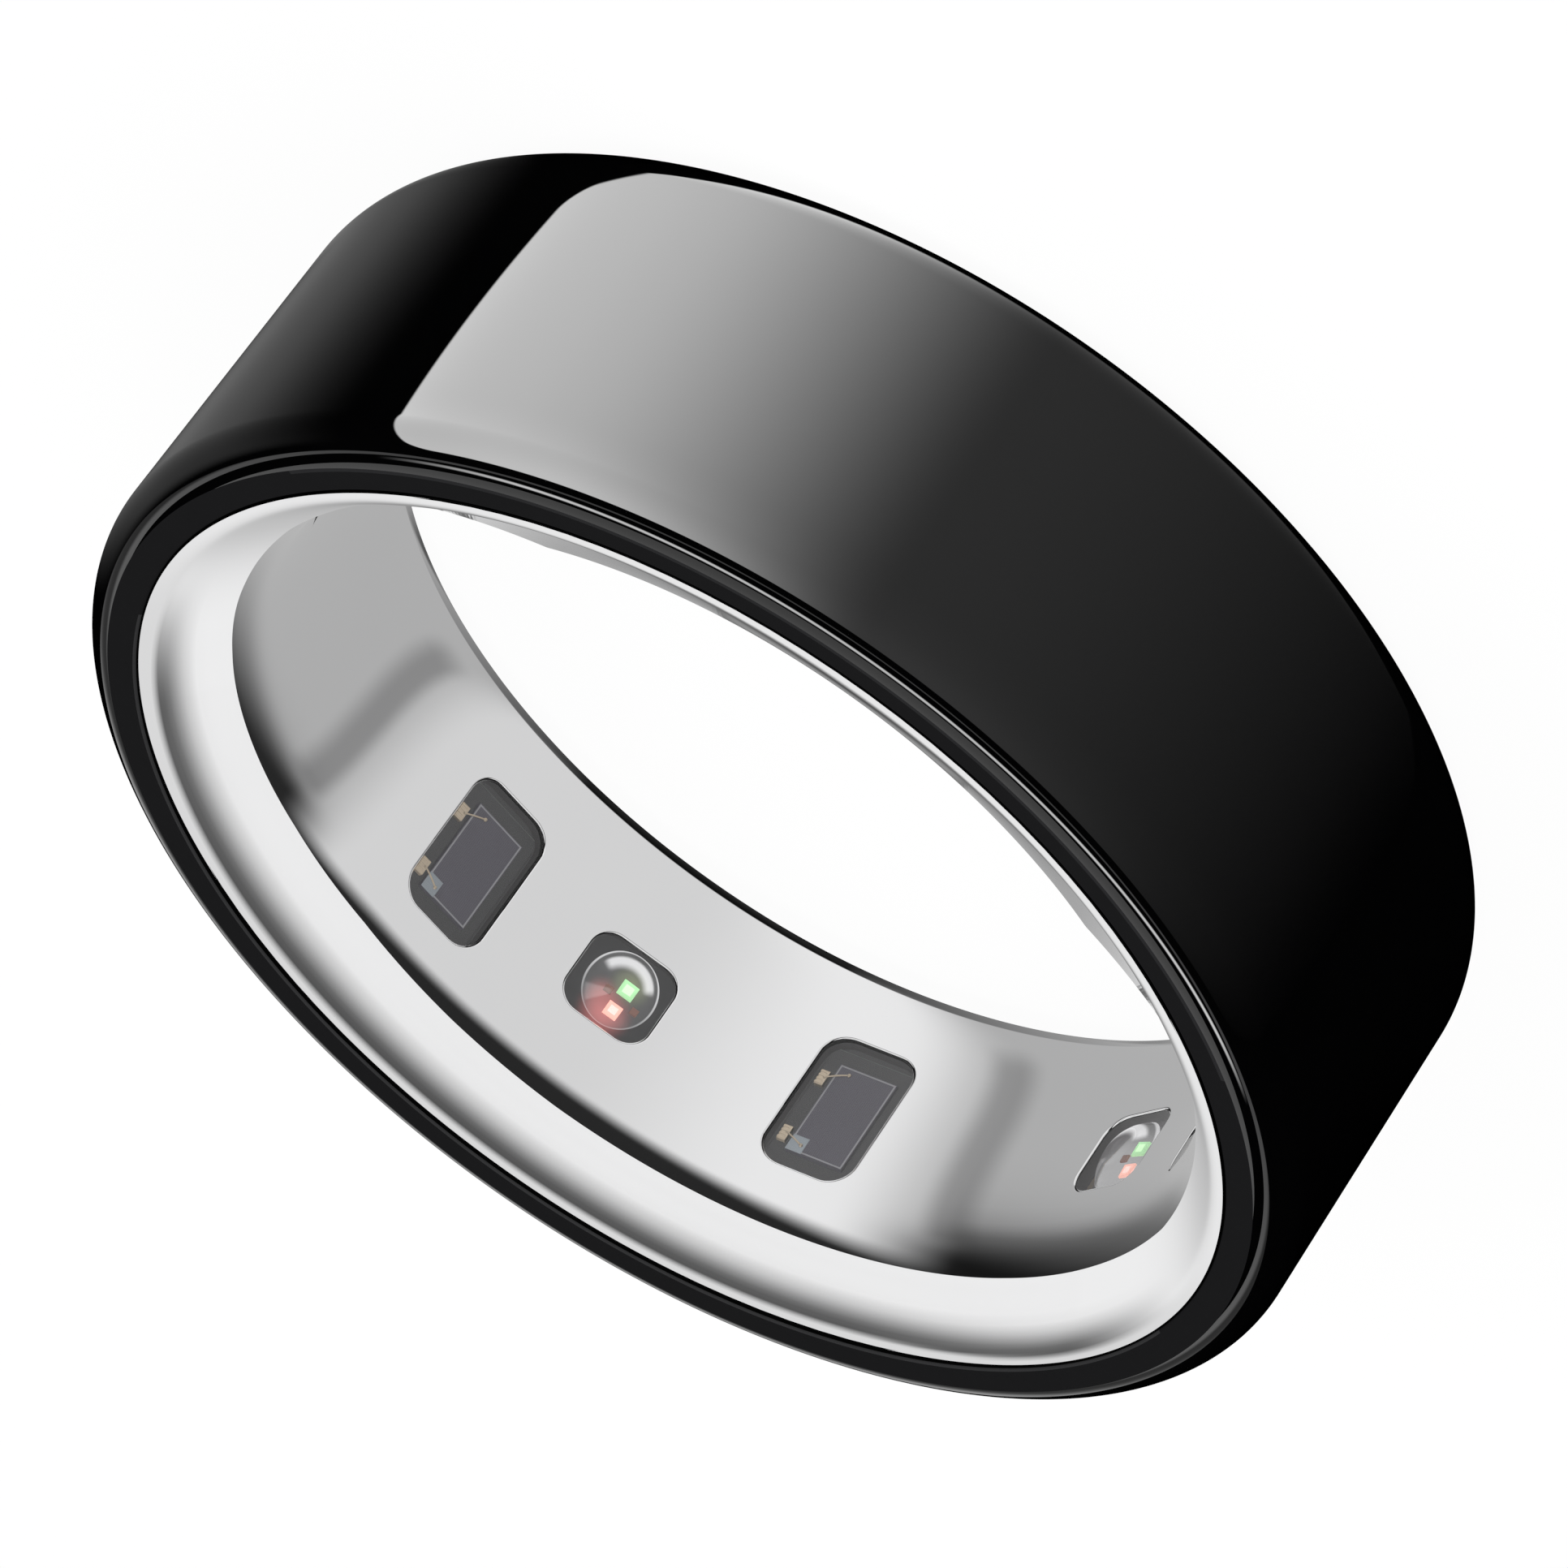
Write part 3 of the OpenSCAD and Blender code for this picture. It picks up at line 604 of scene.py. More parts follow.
def gloss_black(name, colour, rough):
    """The band's deep black polish: nearly no colour of its own, and faint cloudiness in its gloss."""
    material, n, shader, out = blank(name)
    marks = placed(n, polish_group(), Place=object_place(n), Cloud_Scale=300.0, Lines=0.4, Depth=1.0)
    finish_with(n, shader, out, Base_Color=n.mix(marks["Cloud"], tuple(v * 0.6 for v in colour), colour),
                IOR=1.5, Roughness=spread(n, marks["Cloud"], rough * 0.7, rough * 1.3),
                Normal=bumped(n, marks["Height"], 0.02, 0.00001))
    return material


def clear_finish(name, colour, rough, index):
    material, n, shader, out = blank(name)
    marks = placed(n, polish_group(), Place=object_place(n), Cloud_Scale=900.0, Lines=0.2, Depth=1.0)
    pale = tuple(min(1.0, value * 1.04) for value in colour)
    finish_with(n, shader, out, Base_Color=n.mix(marks["Cloud"], colour, pale), IOR=index,
                Transmission_Weight=1.0, Roughness=spread(n, marks["Cloud"], rough * 0.5, rough))
    return material


def flat_map(n):
    return n.add("TexCoord").outputs["UV"]


def chip_finish(name, colour, line_colour, width, height):
    """A light-sensitive chip: fine strips and a thin pale line near its edge."""
    material, n, shader, out = blank(name)
    marks = placed(n, outline_group(), Map=flat_map(n), Width=width, Height=height,
                   Inset=0.035, Line=0.034, Pitch=0.042)
    dark = tuple(value * 0.72 for value in colour)
    striped = n.mix(marks["Strips"], dark, colour)
    finish_with(n, shader, out, Base_Color=n.mix(marks["Line"], striped, line_colour),
                Roughness=spread(n, marks["Strips"], 0.3, 0.45))
    return material


def lit_finish(name, colour, glow, line, strength, width, height):
    """A lit chip: a bright face with a darker line inside its edge."""
    material, n, shader, out = blank(name)
    marks = placed(n, outline_group(), Map=flat_map(n), Width=width, Height=height,
                   Inset=0.055, Line=0.022, Pitch=0.05)
    face = n.mix(marks["Line"], glow, line)
    finish_with(n, shader, out, Base_Color=colour, Emission_Color=n.mix(marks["Inside"], line, face),
                Emission_Strength=strength, Roughness=spread(n, marks["Strips"], 0.35, 0.5))
    return material


def lamp_base_finish(name, colour):
    """The lamp's dark floor with painted glow: the green and red light of the chips painted over it as emission."""
    material, n, shader, out = blank(name)
    flat = flat_map(n)
    marks = placed(n, grain_group(), Place=object_place(n), Grain_Scale=7000.0)
    plain = n.mix(marks["Mask"], tuple(v * 0.7 for v in colour), colour)
    lit = (0.0, 0.0, 0.0)
    # Painted light: pools of green and red glow round the lit chips.
    for across, along, reach, light in ((0.16, -0.15, 0.5, (0.16, 0.19, 0.07)), (-0.2, 0.3, 0.42, (0.36, 0.1, 0.085)),
                                        (0.02, 0.62, 0.66, (0.62, 0.14, 0.13))):
        glow = placed(n, glow_group(), Map=flat, Across=across, Along=along, Reach=reach)["Glow"]
        lit = n.mix(glow, lit, light)
    finish_with(n, shader, out, Base_Color=plain, Emission_Color=lit, Emission_Strength=1.0,
                Roughness=spread(n, marks["Mask"], 0.4, 0.55),
                Normal=bumped(n, marks["Height"], 0.1, 0.00001))
    return material


def dome_finish(name, colour):
    """Clear resin with painted light given as emission: a soft white crescent of painted highlight, a pale fan of
    painted sheen, a thin bright rim line and a faint glow inside.
    """
    material, n, shader, out = blank(name)
    parts = n.add("SeparateXYZ", Vector=flat_map(n)).outputs
    y, z = (n.times(n.minus(parts[axis], 0.5), 2.4) for axis in ("X", "Y"))
    far = n.length(y, z)
    near = n.sum("MAXIMUM", far, 0.05)
    above = n.sum("DIVIDE", n.times(z, -1.0), near)
    left = n.sum("DIVIDE", n.plus(n.times(y, -0.818), n.times(z, 0.575)), near)
    # Painted highlight, sheen and glow: these masks feed the emission, not the reflections.
    crescent = n.times(n.hump(far, 0.5, 0.72, 0.8, 0.88), n.step(above, 0.35, 0.62))
    fan = n.times(n.hump(far, 0.15, 0.3, 0.85, 0.97), n.step(left, 0.955, 0.985))
    rim = n.times(n.hump(far, 0.93, 0.96, 0.985, 1.01), n.step(above, -0.8, 0.6, 0.35, 1.0))
    inside = n.step(far, 0.92, 1.0, 1.0, 0.0)
    light = n.plus(n.times(crescent, 0.8), n.times(fan, 0.14))
    light = n.plus(light, n.plus(n.times(rim, 0.7), n.times(inside, 0.05)))
    marks = placed(n, polish_group(), Place=object_place(n), Cloud_Scale=900.0, Lines=0.2, Depth=1.0)
    shade = n.times(light, spread(n, marks["Cloud"], 0.94, 1.06))
    finish_with(n, shader, out, Base_Color=n.mix(marks["Cloud"], colour, tuple(min(1.0, v * 1.02) for v in colour)),
                IOR=1.25, Transmission_Weight=1.0, Roughness=0.01, Emission_Color=n.mix(shade, (0.0,) * 3, (1.0,) * 3),
                Emission_Strength=1.0)
    return material


# ------------------------------------------------------------------- settings

def length(name, description, default):
    return bpy.props.FloatProperty(name=name, description=description, default=default * MM,
                                   min=0.0, soft_max=0.05, precision=5, unit="LENGTH", subtype="DISTANCE")


def colour(name, description, default):
    return bpy.props.FloatVectorProperty(name=name, description=description, default=default,
                                         size=3, min=0.0, max=1.0, subtype="COLOR")


def share(name, description, default, top=1.0):
    return bpy.props.FloatProperty(name=name, description=description, default=default, min=0.0, max=top)


class RingBandSettings(bpy.types.PropertyGroup):
    radius: length("Radius", "From the finger's middle line to the band's outside", 12.7)
    width: length("Width", "Across the band, along the finger", 7.9)
    edge: length("Edge rounding", "Radius of the band's rounded edges", 0.75)
    lip: length("Inner edge", "Radius at which the side face ends", 11.38)
    groove: length("Groove", "Radius of the inside of the band", 12.15)
    flange: length("Side thickness", "Thickness of the band's side faces", 0.5)
    body: colour("Band colour", "Colour of the polished black band", (0.0008, 0.0008, 0.0009))
    side: colour("Side colour", "Colour of the satin side faces", (0.0092, 0.0092, 0.0097))
    gloss: share("Band roughness", "How far the band's polish blurs what it mirrors", 0.03)


class RingLinerSettings(bpy.types.PropertyGroup):
    bore: length("Bore", "Radius of the finger hole", 9.9)
    back: length("Back radius", "Radius of the sleeve's outside", 10.35)
    rim: length("Window rim", "Rounding round each window", 0.04)
    body: colour("Sleeve colour", "Colour of the polished sleeve", (0.88, 0.88, 0.885))
    lining: colour("Lining colour", "Colour of the dark lining inside each window", (0.062, 0.056, 0.06))
    gloss: share("Sleeve roughness", "How far the sleeve's polish blurs what it mirrors", 0.04)


class RingWindowSettings(bpy.types.PropertyGroup):
    half_width: length("Detector half width", "Half of a detector's window, round the finger", 1.02)
    half_height: length("Detector half height", "Half of a detector's window, along the finger", 1.63)
    corner: length("Detector corner", "Corner radius of a detector's window", 0.55)
    lamp_width: length("Lamp half width", "Half of a lamp's window, round the finger", 0.99)
    lamp_half: length("Lamp half height", "Half of a lamp's window, along the finger", 0.97)
    lamp_corner: length("Lamp corner", "Corner radius of a lamp's window", 0.5)
    front: length("Front", "Radius of the windows' front", 9.92)
    back: length("Detector back", "Radius of the detector windows' back", 10.1)
    lamp_back: length("Lamp back", "Radius of the lamp windows' back", 10.0)
    glass: colour("Glass colour", "Tint of the windows", (0.8, 0.8, 0.81))


class RingSensorSettings(bpy.types.PropertyGroup):
    base: colour("Base colour", "Colour of the floors behind the windows", (0.055, 0.055, 0.057))
    # A lighter copy of the floor colour: painted sheen for the lamp floor seen at a low angle.
    pale: colour("Second floor colour", "Colour of the floor seen at a low angle", (0.13, 0.115, 0.125))
    chip: colour("Detector colour", "Colour of the light-sensitive chips", (0.155, 0.143, 0.19))
    line: colour("Line colour", "Colour of the line round a chip", (0.62, 0.62, 0.64))
    contact: colour("Contact colour", "Colour of the square contacts", (0.36, 0.4, 0.43))
    gold: colour("Gold colour", "Colour of pads and wires", (0.74, 0.61, 0.45))
    green: colour("Green light", "Light of the green chips", (0.62, 1.0, 0.52))
    red: colour("Red light", "Light of the red chips", (1.0, 0.7, 0.62))
    infrared: colour("Infrared colour", "Colour of the infrared chips", (0.6, 0.2, 0.1))
    dome: colour("Dome colour", "Tint of the clear domes", (0.97, 0.97, 0.97))


class RingStageSettings(bpy.types.PropertyGroup):
    floor: length("Floor size", "Side of the pale floor", 900.0)
    pale: colour("Floor colour", "Colour of the floor", (0.9, 0.9, 0.9))
    level: share("Light level", "Strength of the even light round the object", 0.75, 4.0)
    focal: bpy.props.FloatProperty(name="Lens", description="Focal length of the camera in millimetres",
                                   default=175.253, min=10.0, max=400.0)
    card_radius: length("Card radius", "Radius of the card that the band mirrors", 13.2)


# ------------------------------------------------------------------ operators

def show(piece, slot, *nodes):
    """Puts a piece on the body. Polished faces mirror the room, not the ring's other pieces."""
    piece.visible_glossy = False
    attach(piece, "root")
    if nodes:
        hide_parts(*nodes)


def even_angles(first, last, size=0.5):
    count = max(1, math.ceil((last - first) / size))
    return [first + (last - first) * k / count for k in range(count + 1)]


class RING_OT_band(bpy.types.Operator):
    """Makes the glossy black band with its satin side faces"""
    bl_idname = "ring.band"
    bl_label = "Black band"

    def execute(self, context):
        s = context.scene.ring_band
        radius, width, edge = s.radius / MM, s.width / MM, s.edge / MM
        lip, groove, flange = s.lip / MM, s.groove / MM, s.flange / MM
        wall = straight(radius, edge, radius, width - edge, (1, 0))
        top = arc(radius - edge, width - edge, edge, 0, 84, 26)
        brow = arc(radius - edge, width - edge, edge, 84, 90, 4)
        side = [(radius - edge, width, 0, 1), (lip + 0.25, width - 0.006, 0, 1), (lip + 0.12, width - 0.04, -0.1, 1)]
        turn = [(lip + 0.12, width - 0.04, -0.3, 0.95), (lip + 0.085, width - 0.06, -0.6, 0.8),
                (lip + 0.07, width - 0.085, -0.95, 0.3)]
        inner = [(lip + 0.07, width - 0.085, -0.7, 0.7), (lip, width - 0.14, -1, 0), (lip, width - flange, -1, 0)]
        under = straight(lip, width - flange, groove, width - flange, (0, -1))
        inside = straight(groove, width - flange, groove, flange, (-1, 0))
        runs = [(wall, 0), (top, 0), (side, 1), (inner, 3), (under, 1), (inside, 1)]
        runs += [(mirrored(rows, width), slot) for rows, slot in runs[1:5]]
        shape = Shape()
        lathe(shape, runs, even_angles(-180, 180))
        # Painted sheen and highlight: the brow is lighter from -140 to -32 degrees and the inner turn from 6 to 174
        # degrees; elsewhere both take the side colour.
        for rows, slot, start, end in ((brow, 2, -140, -32), (brow, 1, -32, 220),
                                       (turn, 4, 6, 174), (turn, 1, 174, 366)):
            lathe(shape, [(rows, slot), (mirrored(rows, width), slot)], even_angles(start, end))

        def satin(name, colour, rough=0.3):
            return body_finish(name, colour, rough, 6000.0, 0.06, 0.85, 0.0, 0.0)

        # Slots 2 and 4 are lighter copies of the side colour: a painted sheen on the brow and a painted highlight on
        # the inner turn.
        piece = shape.build("black_band", [
            gloss_black("band_polish", tuple(s.body), s.gloss), satin("side_satin", tuple(s.side), 0.35),
            satin("painted_brow_sheen", (0.019, 0.019, 0.02)),
            body_finish("groove_dark", (0.0015, 0.0015, 0.0015), 0.6, shine=0.0),
            satin("painted_rim_highlight", (0.029, 0.029, 0.03))])
        show(piece, "black_metal", "outer_shell")
        return {"FINISHED"}


class RING_OT_liner(bpy.types.Operator):
    """Makes the polished sleeve with its bead, crease, flare, lip and window openings"""
    bl_idname = "ring.liner"
    bl_label = "Silver sleeve"

    def execute(self, context):
        s, w, band = context.scene.ring_liner, context.scene.ring_window, context.scene.ring_band
        bore, back, rim = s.bore / MM, s.back / MM, s.rim / MM
        width = band.width / MM
        shift = bore - 9.9
        wall = [leaning(bore_radius(z) + shift, z, lean) for z, lean in LEAN]
        first = next(k for k, row in enumerate(LEAN) if row[0] >= 1.9)
        last = next(k for k, row in enumerate(LEAN) if row[0] >= 5.7)
        land = wall[first:last + 1]
        front = [leaning(r + shift, z, 90.0) for r, z in FLARE]
        rear = [leaning(r + shift, z, lean) for r, z, lean in REAR_LIP]
        rim_r, deep = 11.32, width - 0.396
        outside = straight(back, 6.40, back, width - 6.40, (1, 0))
        runs = [(land, 0), (outside, 0), (wall[:first + 1], 0), (rear[3:], 0)]
        for rows, way in ((front, 1), (rear, -1)):
            end = rows[-1][:2]
            level = deep if way > 0 else width - deep
            knee = 6.40 if way > 0 else width - 6.40
            runs.append((straight(end[0], end[1], rim_r, end[1] - 0.02 * way, (0.7, 0.7 * way)), 0))
            runs.append((straight(rim_r, end[1] - 0.02 * way, rim_r, level, (1, 0)), 1))
            runs.append((straight(rim_r, level, back, knee, (0.75, -0.66 * way)), 1))
        places = [(a, w.half_width / MM, w.half_height / MM, w.corner / MM, 0.0) for a in DETECTOR_PLACES]
        places += [(a, w.lamp_width / MM, w.lamp_half / MM, w.lamp_corner / MM, 0.12) for a in LAMP_PLACES]
        places.sort()
        reach, columns = 7.4, 30
        angles = [places[0][0] - reach]
        for a, *rest in places:
            angles += even_angles(angles[-1], a - reach)[1:]
            angles += [a - reach + 2 * reach * n / columns for n in range(1, columns + 1)]
        angles += even_angles(angles[-1], places[0][0] - reach + 360)[1:]

        def open_here(number, angle):
            return number < 2 and any(abs((angle - place[0] + 180) % 360 - 180) < reach for place in places)

        shape = Shape()
        lathe(shape, runs, angles, open_here)
        sweep(shape, angles, lambda angle: front_section(angle, shift))

        # Painted shade on the rear lip: darkest round 90 degrees, fading out by about 26 and 154 degrees.
        def heel(angle):
            deep = min(1.0, max(0.0, (64 - abs((angle + 180) % 360 - 270)) / 46))
            return [[row + (dark * deep,) for row, dark in zip(rear, (0.2, 1.0, 1.0, 0.4))]]

        sweep(shape, angles, heel)
        heights = [row[1] for row in land]
        for a, half_y, half_z, corner, wider in places:
            outline = [(y, z + SENSOR_LEVEL, ny, nz) for y, z, ny, nz in rounded_outline(half_y, half_z, corner)]
            open_patch(shape, a, reach, columns, heights, bore, outline, rim, -1)
            open_patch(shape, a, reach, columns, [width - 6.40, 6.40], back, outline, wider, 1, 1)
            loops = [ring_of(a, outline, bore, rim * (1 - math.sin(t)), rim * (1 - math.cos(t)), t, -1)
                     for t in (math.pi / 2 * k / 5 for k in range(6))]
            for one, two in zip(loops, loops[1:]):
                skin_between(shape, one, two)
            skin_between(shape, loops[-1], ring_of(a, outline, back, wider, 0, math.pi / 2, -1), 1)
        piece = shape.build("silver_sleeve", [
            metal_finish("sleeve_polish", tuple(s.body), s.gloss, 0.6, 0.02, 300.0, 0.97, True),
            body_finish("window_lining", tuple(s.lining), 0.5, 6000.0, 0.05)])
        show(piece, "polished_steel", "inner_liner")
        return {"FINISHED"}


class RING_OT_windows(bpy.types.Operator):
    """Makes the clear windows with their rounded edges"""
    bl_idname = "ring.windows"
    bl_label = "Windows"

    def execute(self, context):
        w = context.scene.ring_window
        glass = clear_finish("window_glass", tuple(w.glass), 0.02, 1.45)
        rows = (("detector_glass", "detector_windows", DETECTOR_PLACES, w.half_width, w.half_height, w.corner, w.back),
                ("lamp_glass", "lamp_windows", LAMP_PLACES, w.lamp_width, w.lamp_half, w.lamp_corner, w.lamp_back))
        for name, node, places, half_y, half_z, corner, back in rows:
            shape = Shape()
            front, back = w.front / MM, back / MM
            for a in places:
                outline = [(y, z + SENSOR_LEVEL, ny, nz) for y, z, ny, nz in rounded_outline(
                    half_y / MM - 0.012, half_z / MM - 0.012, corner / MM)]
                inside_out = [(y, z, -ny, -nz) for y, z, ny, nz in outline]
                capped(shape, a, outline, SENSOR_LEVEL, front, -0.02, -1)
                loops = []
                for t in (0, math.pi / 4, math.pi / 2):
                    grow, deep = -0.02 * (1 - math.sin(t)), 0.02 * (1 - math.cos(t))
                    loops.append((ring_of(a, outline, front, grow, deep, 0, -1)[0],
                                  ring_of(a, inside_out, front, 0, 0, t, -1)[1]))
                loops.append(ring_of(a, inside_out, back, 0, 0, math.pi / 2, -1))
                for first, second in zip(loops, loops[1:]):
                    skin_between(shape, first, second)
                capped(shape, a, outline, SENSOR_LEVEL, back, 0, 1)
            piece = shape.build(name, [glass])
            show(piece, "window", node)
        return {"FINISHED"}


class RING_OT_detectors(bpy.types.Operator):
    """Makes the detector chips with their bases, contacts, gold pads and bond wires"""
    bl_idname = "ring.detectors"
    bl_label = "Detectors"

    def execute(self, context):
        s, middle = context.scene.ring_sensor, context.scene.ring_band.width / MM / 2
        base, chip, contact, pads, wires = (Shape() for _ in range(5))
        top = 10.17
        for a in DETECTOR_PLACES:
            slab(base, a, 10.39, 10.55, 0, middle - 0.1, 2.2, 3.5)
            slab(base, a, 10.28, 10.39, 0, 3.875, 1.96, 3.08, 0.02)
            slab(base, a, 10.276, 10.284, 0, 2.345, 1.9, 0.02, 0.002, 1)
            slab(chip, a, top, 10.28, 0.04, 3.83, 1.28, 2.24, 0.006)
            slab(contact, a, top - 0.006, top + 0.004, -0.415, 4.76, 0.36, 0.38, 0.003)
            for z, land_y, land_z in ((3.135, -0.31, 2.9), (4.6, -0.33, 4.77)):
                slab(pads, a, top + 0.015, 10.28, -0.795, z, 0.19, 0.36, 0.01)
                for k in range(4):
                    slab(pads, a, top, top + 0.02, -0.795, z - 0.135 + 0.09 * k, 0.2, 0.05, 0.008)
                slab(pads, a, top, top + 0.02, -0.72, z, 0.05, 0.34, 0.008)
                start, end = Vector((top - 0.008, -0.74, z)), Vector((top - 0.012, land_y, land_z))
                path = []
                for k in range(17):
                    t = k / 16
                    spot = start.lerp(end, t)
                    path.append(turned(a, spot.x - 0.022 * math.sin(math.pi * t) ** 0.8, spot.y, spot.z))
                wire(wires, path, 0.018)
                ball(wires, turned(a, start.x, start.y, start.z), 0.028)
                ball(wires, turned(a, end.x + 0.004, end.y, end.z), 0.042)
        gold = metal_finish("gold_bright", tuple(s.gold), 0.4, 0.2, 0.05, 4000.0, 0.8)
        pieces = (
            ("detector_floors", base, "sensor_base", "detector_bases",
             [body_finish("base_satin", tuple(s.base), 0.45, 5000.0, 0.08),
              body_finish("edge_line", (0.16, 0.18, 0.17), 0.4, 5000.0, 0.05)]),
            ("detector_dies", chip, "detector", "detector_chips",
             [chip_finish("detector_chip", tuple(s.chip), tuple(s.line), 1.28, 2.24)]),
            ("square_contacts", contact, "contact", "chip_contacts",
             [metal_finish("contact_metal", tuple(s.contact), 0.4, 0.2, 0.05, 5000.0)]),
            ("comb_pads", pads, "gold", "gold_pads", [gold]),
            ("bond_wires", wires, "gold", "gold_wires", [gold]))
        for name, shape, slot, node, materials in pieces:
            show(shape.build(name, materials), slot, node)
        return {"FINISHED"}


class RING_OT_lamps(bpy.types.Operator):
    """Makes the lamps: their floors, lit chips and clear domes"""
    bl_idname = "ring.lamps"
    bl_label = "Lamps"

    def execute(self, context):
        s, middle = context.scene.ring_sensor, context.scene.ring_band.width / MM / 2
        base, green, red, dark, dome = (Shape() for _ in range(5))
        for a in LAMP_PLACES:
            # The lamp past 120 degrees gets floor slot 1, the lighter copy with painted sheen.
            aside, dome_aside, x, floor = (-0.02, -0.36, 10.28, 1) if a > 120 else (0.05, 0.04, 10.36, 0)
            slab(base, a, 10.57, 10.77, 0, middle - 0.1, 2.2, 2.1, slot=floor)
            slab(base, a, 10.36, 10.57, 0, 3.62, 2.14, 2.02, slot=floor)
            slab(green, a, x - 0.06, 10.36, aside + 0.11, 3.58, 0.32, 0.32, 0.012)
            slab(red, a, x - 0.06, 10.36, aside + 0.09, 4.1, 0.3, 0.3, 0.012)
            slab(dark, a, x - 0.05, 10.36, aside - 0.2, 3.78, 0.16, 0.15, 0.012)
            slab(dark, a, x - 0.05, 10.36, aside + 0.44, 3.86, 0.16, 0.15, 0.012)
            self.dome(dome, a, 3.62, dome_aside, x - 0.002)
        pieces = (
            ("lamp_floors", base, [lamp_base_finish("lamp_floor", tuple(s.base)),
                                   lamp_base_finish("lamp_floor_painted_sheen", tuple(s.pale))], "sensor_base", "lamp_bases"),
            ("green_chips", green, [lit_finish("green_lit", (0.4, 0.9, 0.45), tuple(s.green), (0.3, 0.56, 0.26),
                                               1.35, 0.32, 0.32)], "green_light", "green_light_chips"),
            ("red_chips", red, [lit_finish("red_lit", (0.9, 0.5, 0.45), tuple(s.red), (0.9, 0.42, 0.32),
                                           1.35, 0.3, 0.3)], "red_light", "red_light_chips"),
            ("infrared_dies", dark, [body_finish("infrared_die", tuple(s.infrared), 0.35, 8000.0)],
             "infrared", "infrared_chips"),
            ("clear_domes", dome, [dome_finish("dome_clear", tuple(s.dome))], "clear_dome", "lamp_domes"))
        for name, shape, materials, slot, node in pieces:
            show(shape.build(name, materials), slot, node)
        return {"FINISHED"}

    @staticmethod
    def dome(shape, angle, middle, aside, foot, height=0.38, half_y=0.78, half_z=0.87):
        """A clear cap on the lamp's floor, with its flat back. Its flat map looks along the finger's slope."""
        sphere = (half_y ** 2 + height ** 2) / (2 * height)
        wide = math.asin(half_y / sphere)
        around, rows = 72, 20

        def spot(i, j):
            a, b = 2 * math.pi * i / around, wide * j / rows
            y, z = sphere * math.sin(b) * math.cos(a), sphere * math.sin(b) * math.sin(a) * half_z / half_y
            up = sphere * math.cos(b) - (sphere - height)
            n = turned(angle, -math.cos(b), math.sin(b) * math.cos(a), math.sin(b) * math.sin(a) * half_y / half_z)
            flat = (y / half_y, (z * 0.866 - up * 0.5) / half_y)
            return turned(angle, foot - up, aside + y, middle + z), n, (flat[0] / 2.4 + 0.5, flat[1] / 2.4 + 0.5)

        for j in range(rows):
            for i in range(around):
                four = [spot(i, j), spot(i + 1, j), spot(i + 1, j + 1), spot(i, j + 1)]
                shape.face([row[0] for row in four], [row[1] for row in four], 0, [row[2] for row in four])
        back = turned(angle, 1, 0, 0)
        heart = turned(angle, foot, aside, middle)
        for i in range(around):
            shape.face([heart, spot(i, rows)[0], spot(i + 1, rows)[0]], [back] * 3, 0, [(0.99, 0.99)] * 3)


class RING_OT_inside(bpy.types.Operator):
    """Finishes the seals and the pieces hidden inside the ring"""
    bl_idname = "ring.inside"
    bl_label = "Seals and inside"

    def execute(self, context):
        finishes = {
            "black_glue": body_finish("seal_glue", (0.0015, 0.0015, 0.0015), 0.6, 5000.0, 0.2, shine=0.0),
            "resin": body_finish("cast_resin", (0.18, 0.18, 0.2), 0.35, 3000.0, 0.05, 0.8),
            "lamp_frame": body_finish("light_frame", (0.03, 0.03, 0.03), 0.7, 7000.0, 0.2),
            "light_ceramic": body_finish("pale_ceramic", (0.72, 0.62, 0.48), 0.55, 8000.0, 0.15, 0.85),
            "dark_ceramic": body_finish("dark_ceramic", (0.1, 0.1, 0.11), 0.4, 8000.0, 0.15),
            "flex": body_finish("amber_film", (0.7, 0.4, 0.1), 0.3, 2500.0, 0.05, 0.85, 0.3),
            "chip_case": body_finish("chip_case", (0.06, 0.06, 0.065), 0.6, 9000.0, 0.25),
            "metal_case": metal_finish("can_metal", (0.72, 0.72, 0.74), 0.3, 0.7, 0.1),
            "dark_ferrite": body_finish("ferrite", (0.14, 0.14, 0.15), 0.65, 6000.0, 0.3),
            "copper": metal_finish("copper_bright", (0.85, 0.48, 0.3), 0.25, 0.6, 0.1, 700.0, 0.85),
            "carrier": body_finish("carrier_plastic", (0.3, 0.3, 0.32), 0.5, 5000.0, 0.15),
            "battery": metal_finish("cell_foil", (0.62, 0.63, 0.65), 0.35, 0.3, 0.15, 500.0, 0.9),
            "glue_pad": body_finish("glue_pad", (0.85, 0.83, 0.75), 0.6, 3000.0, 0.2, 0.9),
            "terminal": metal_finish("nickel", (0.76, 0.74, 0.68), 0.25, 0.6, 0.1),
        }
        for row in frame["record"]["subparts"]:
            finish = finishes.get(row["material_slot"])
            if finish:
                piece = frame["nodes"][row["node"]]
                piece.visible_glossy = False
                for place in piece.material_slots:
                    place.material = finish
        return {"FINISHED"}


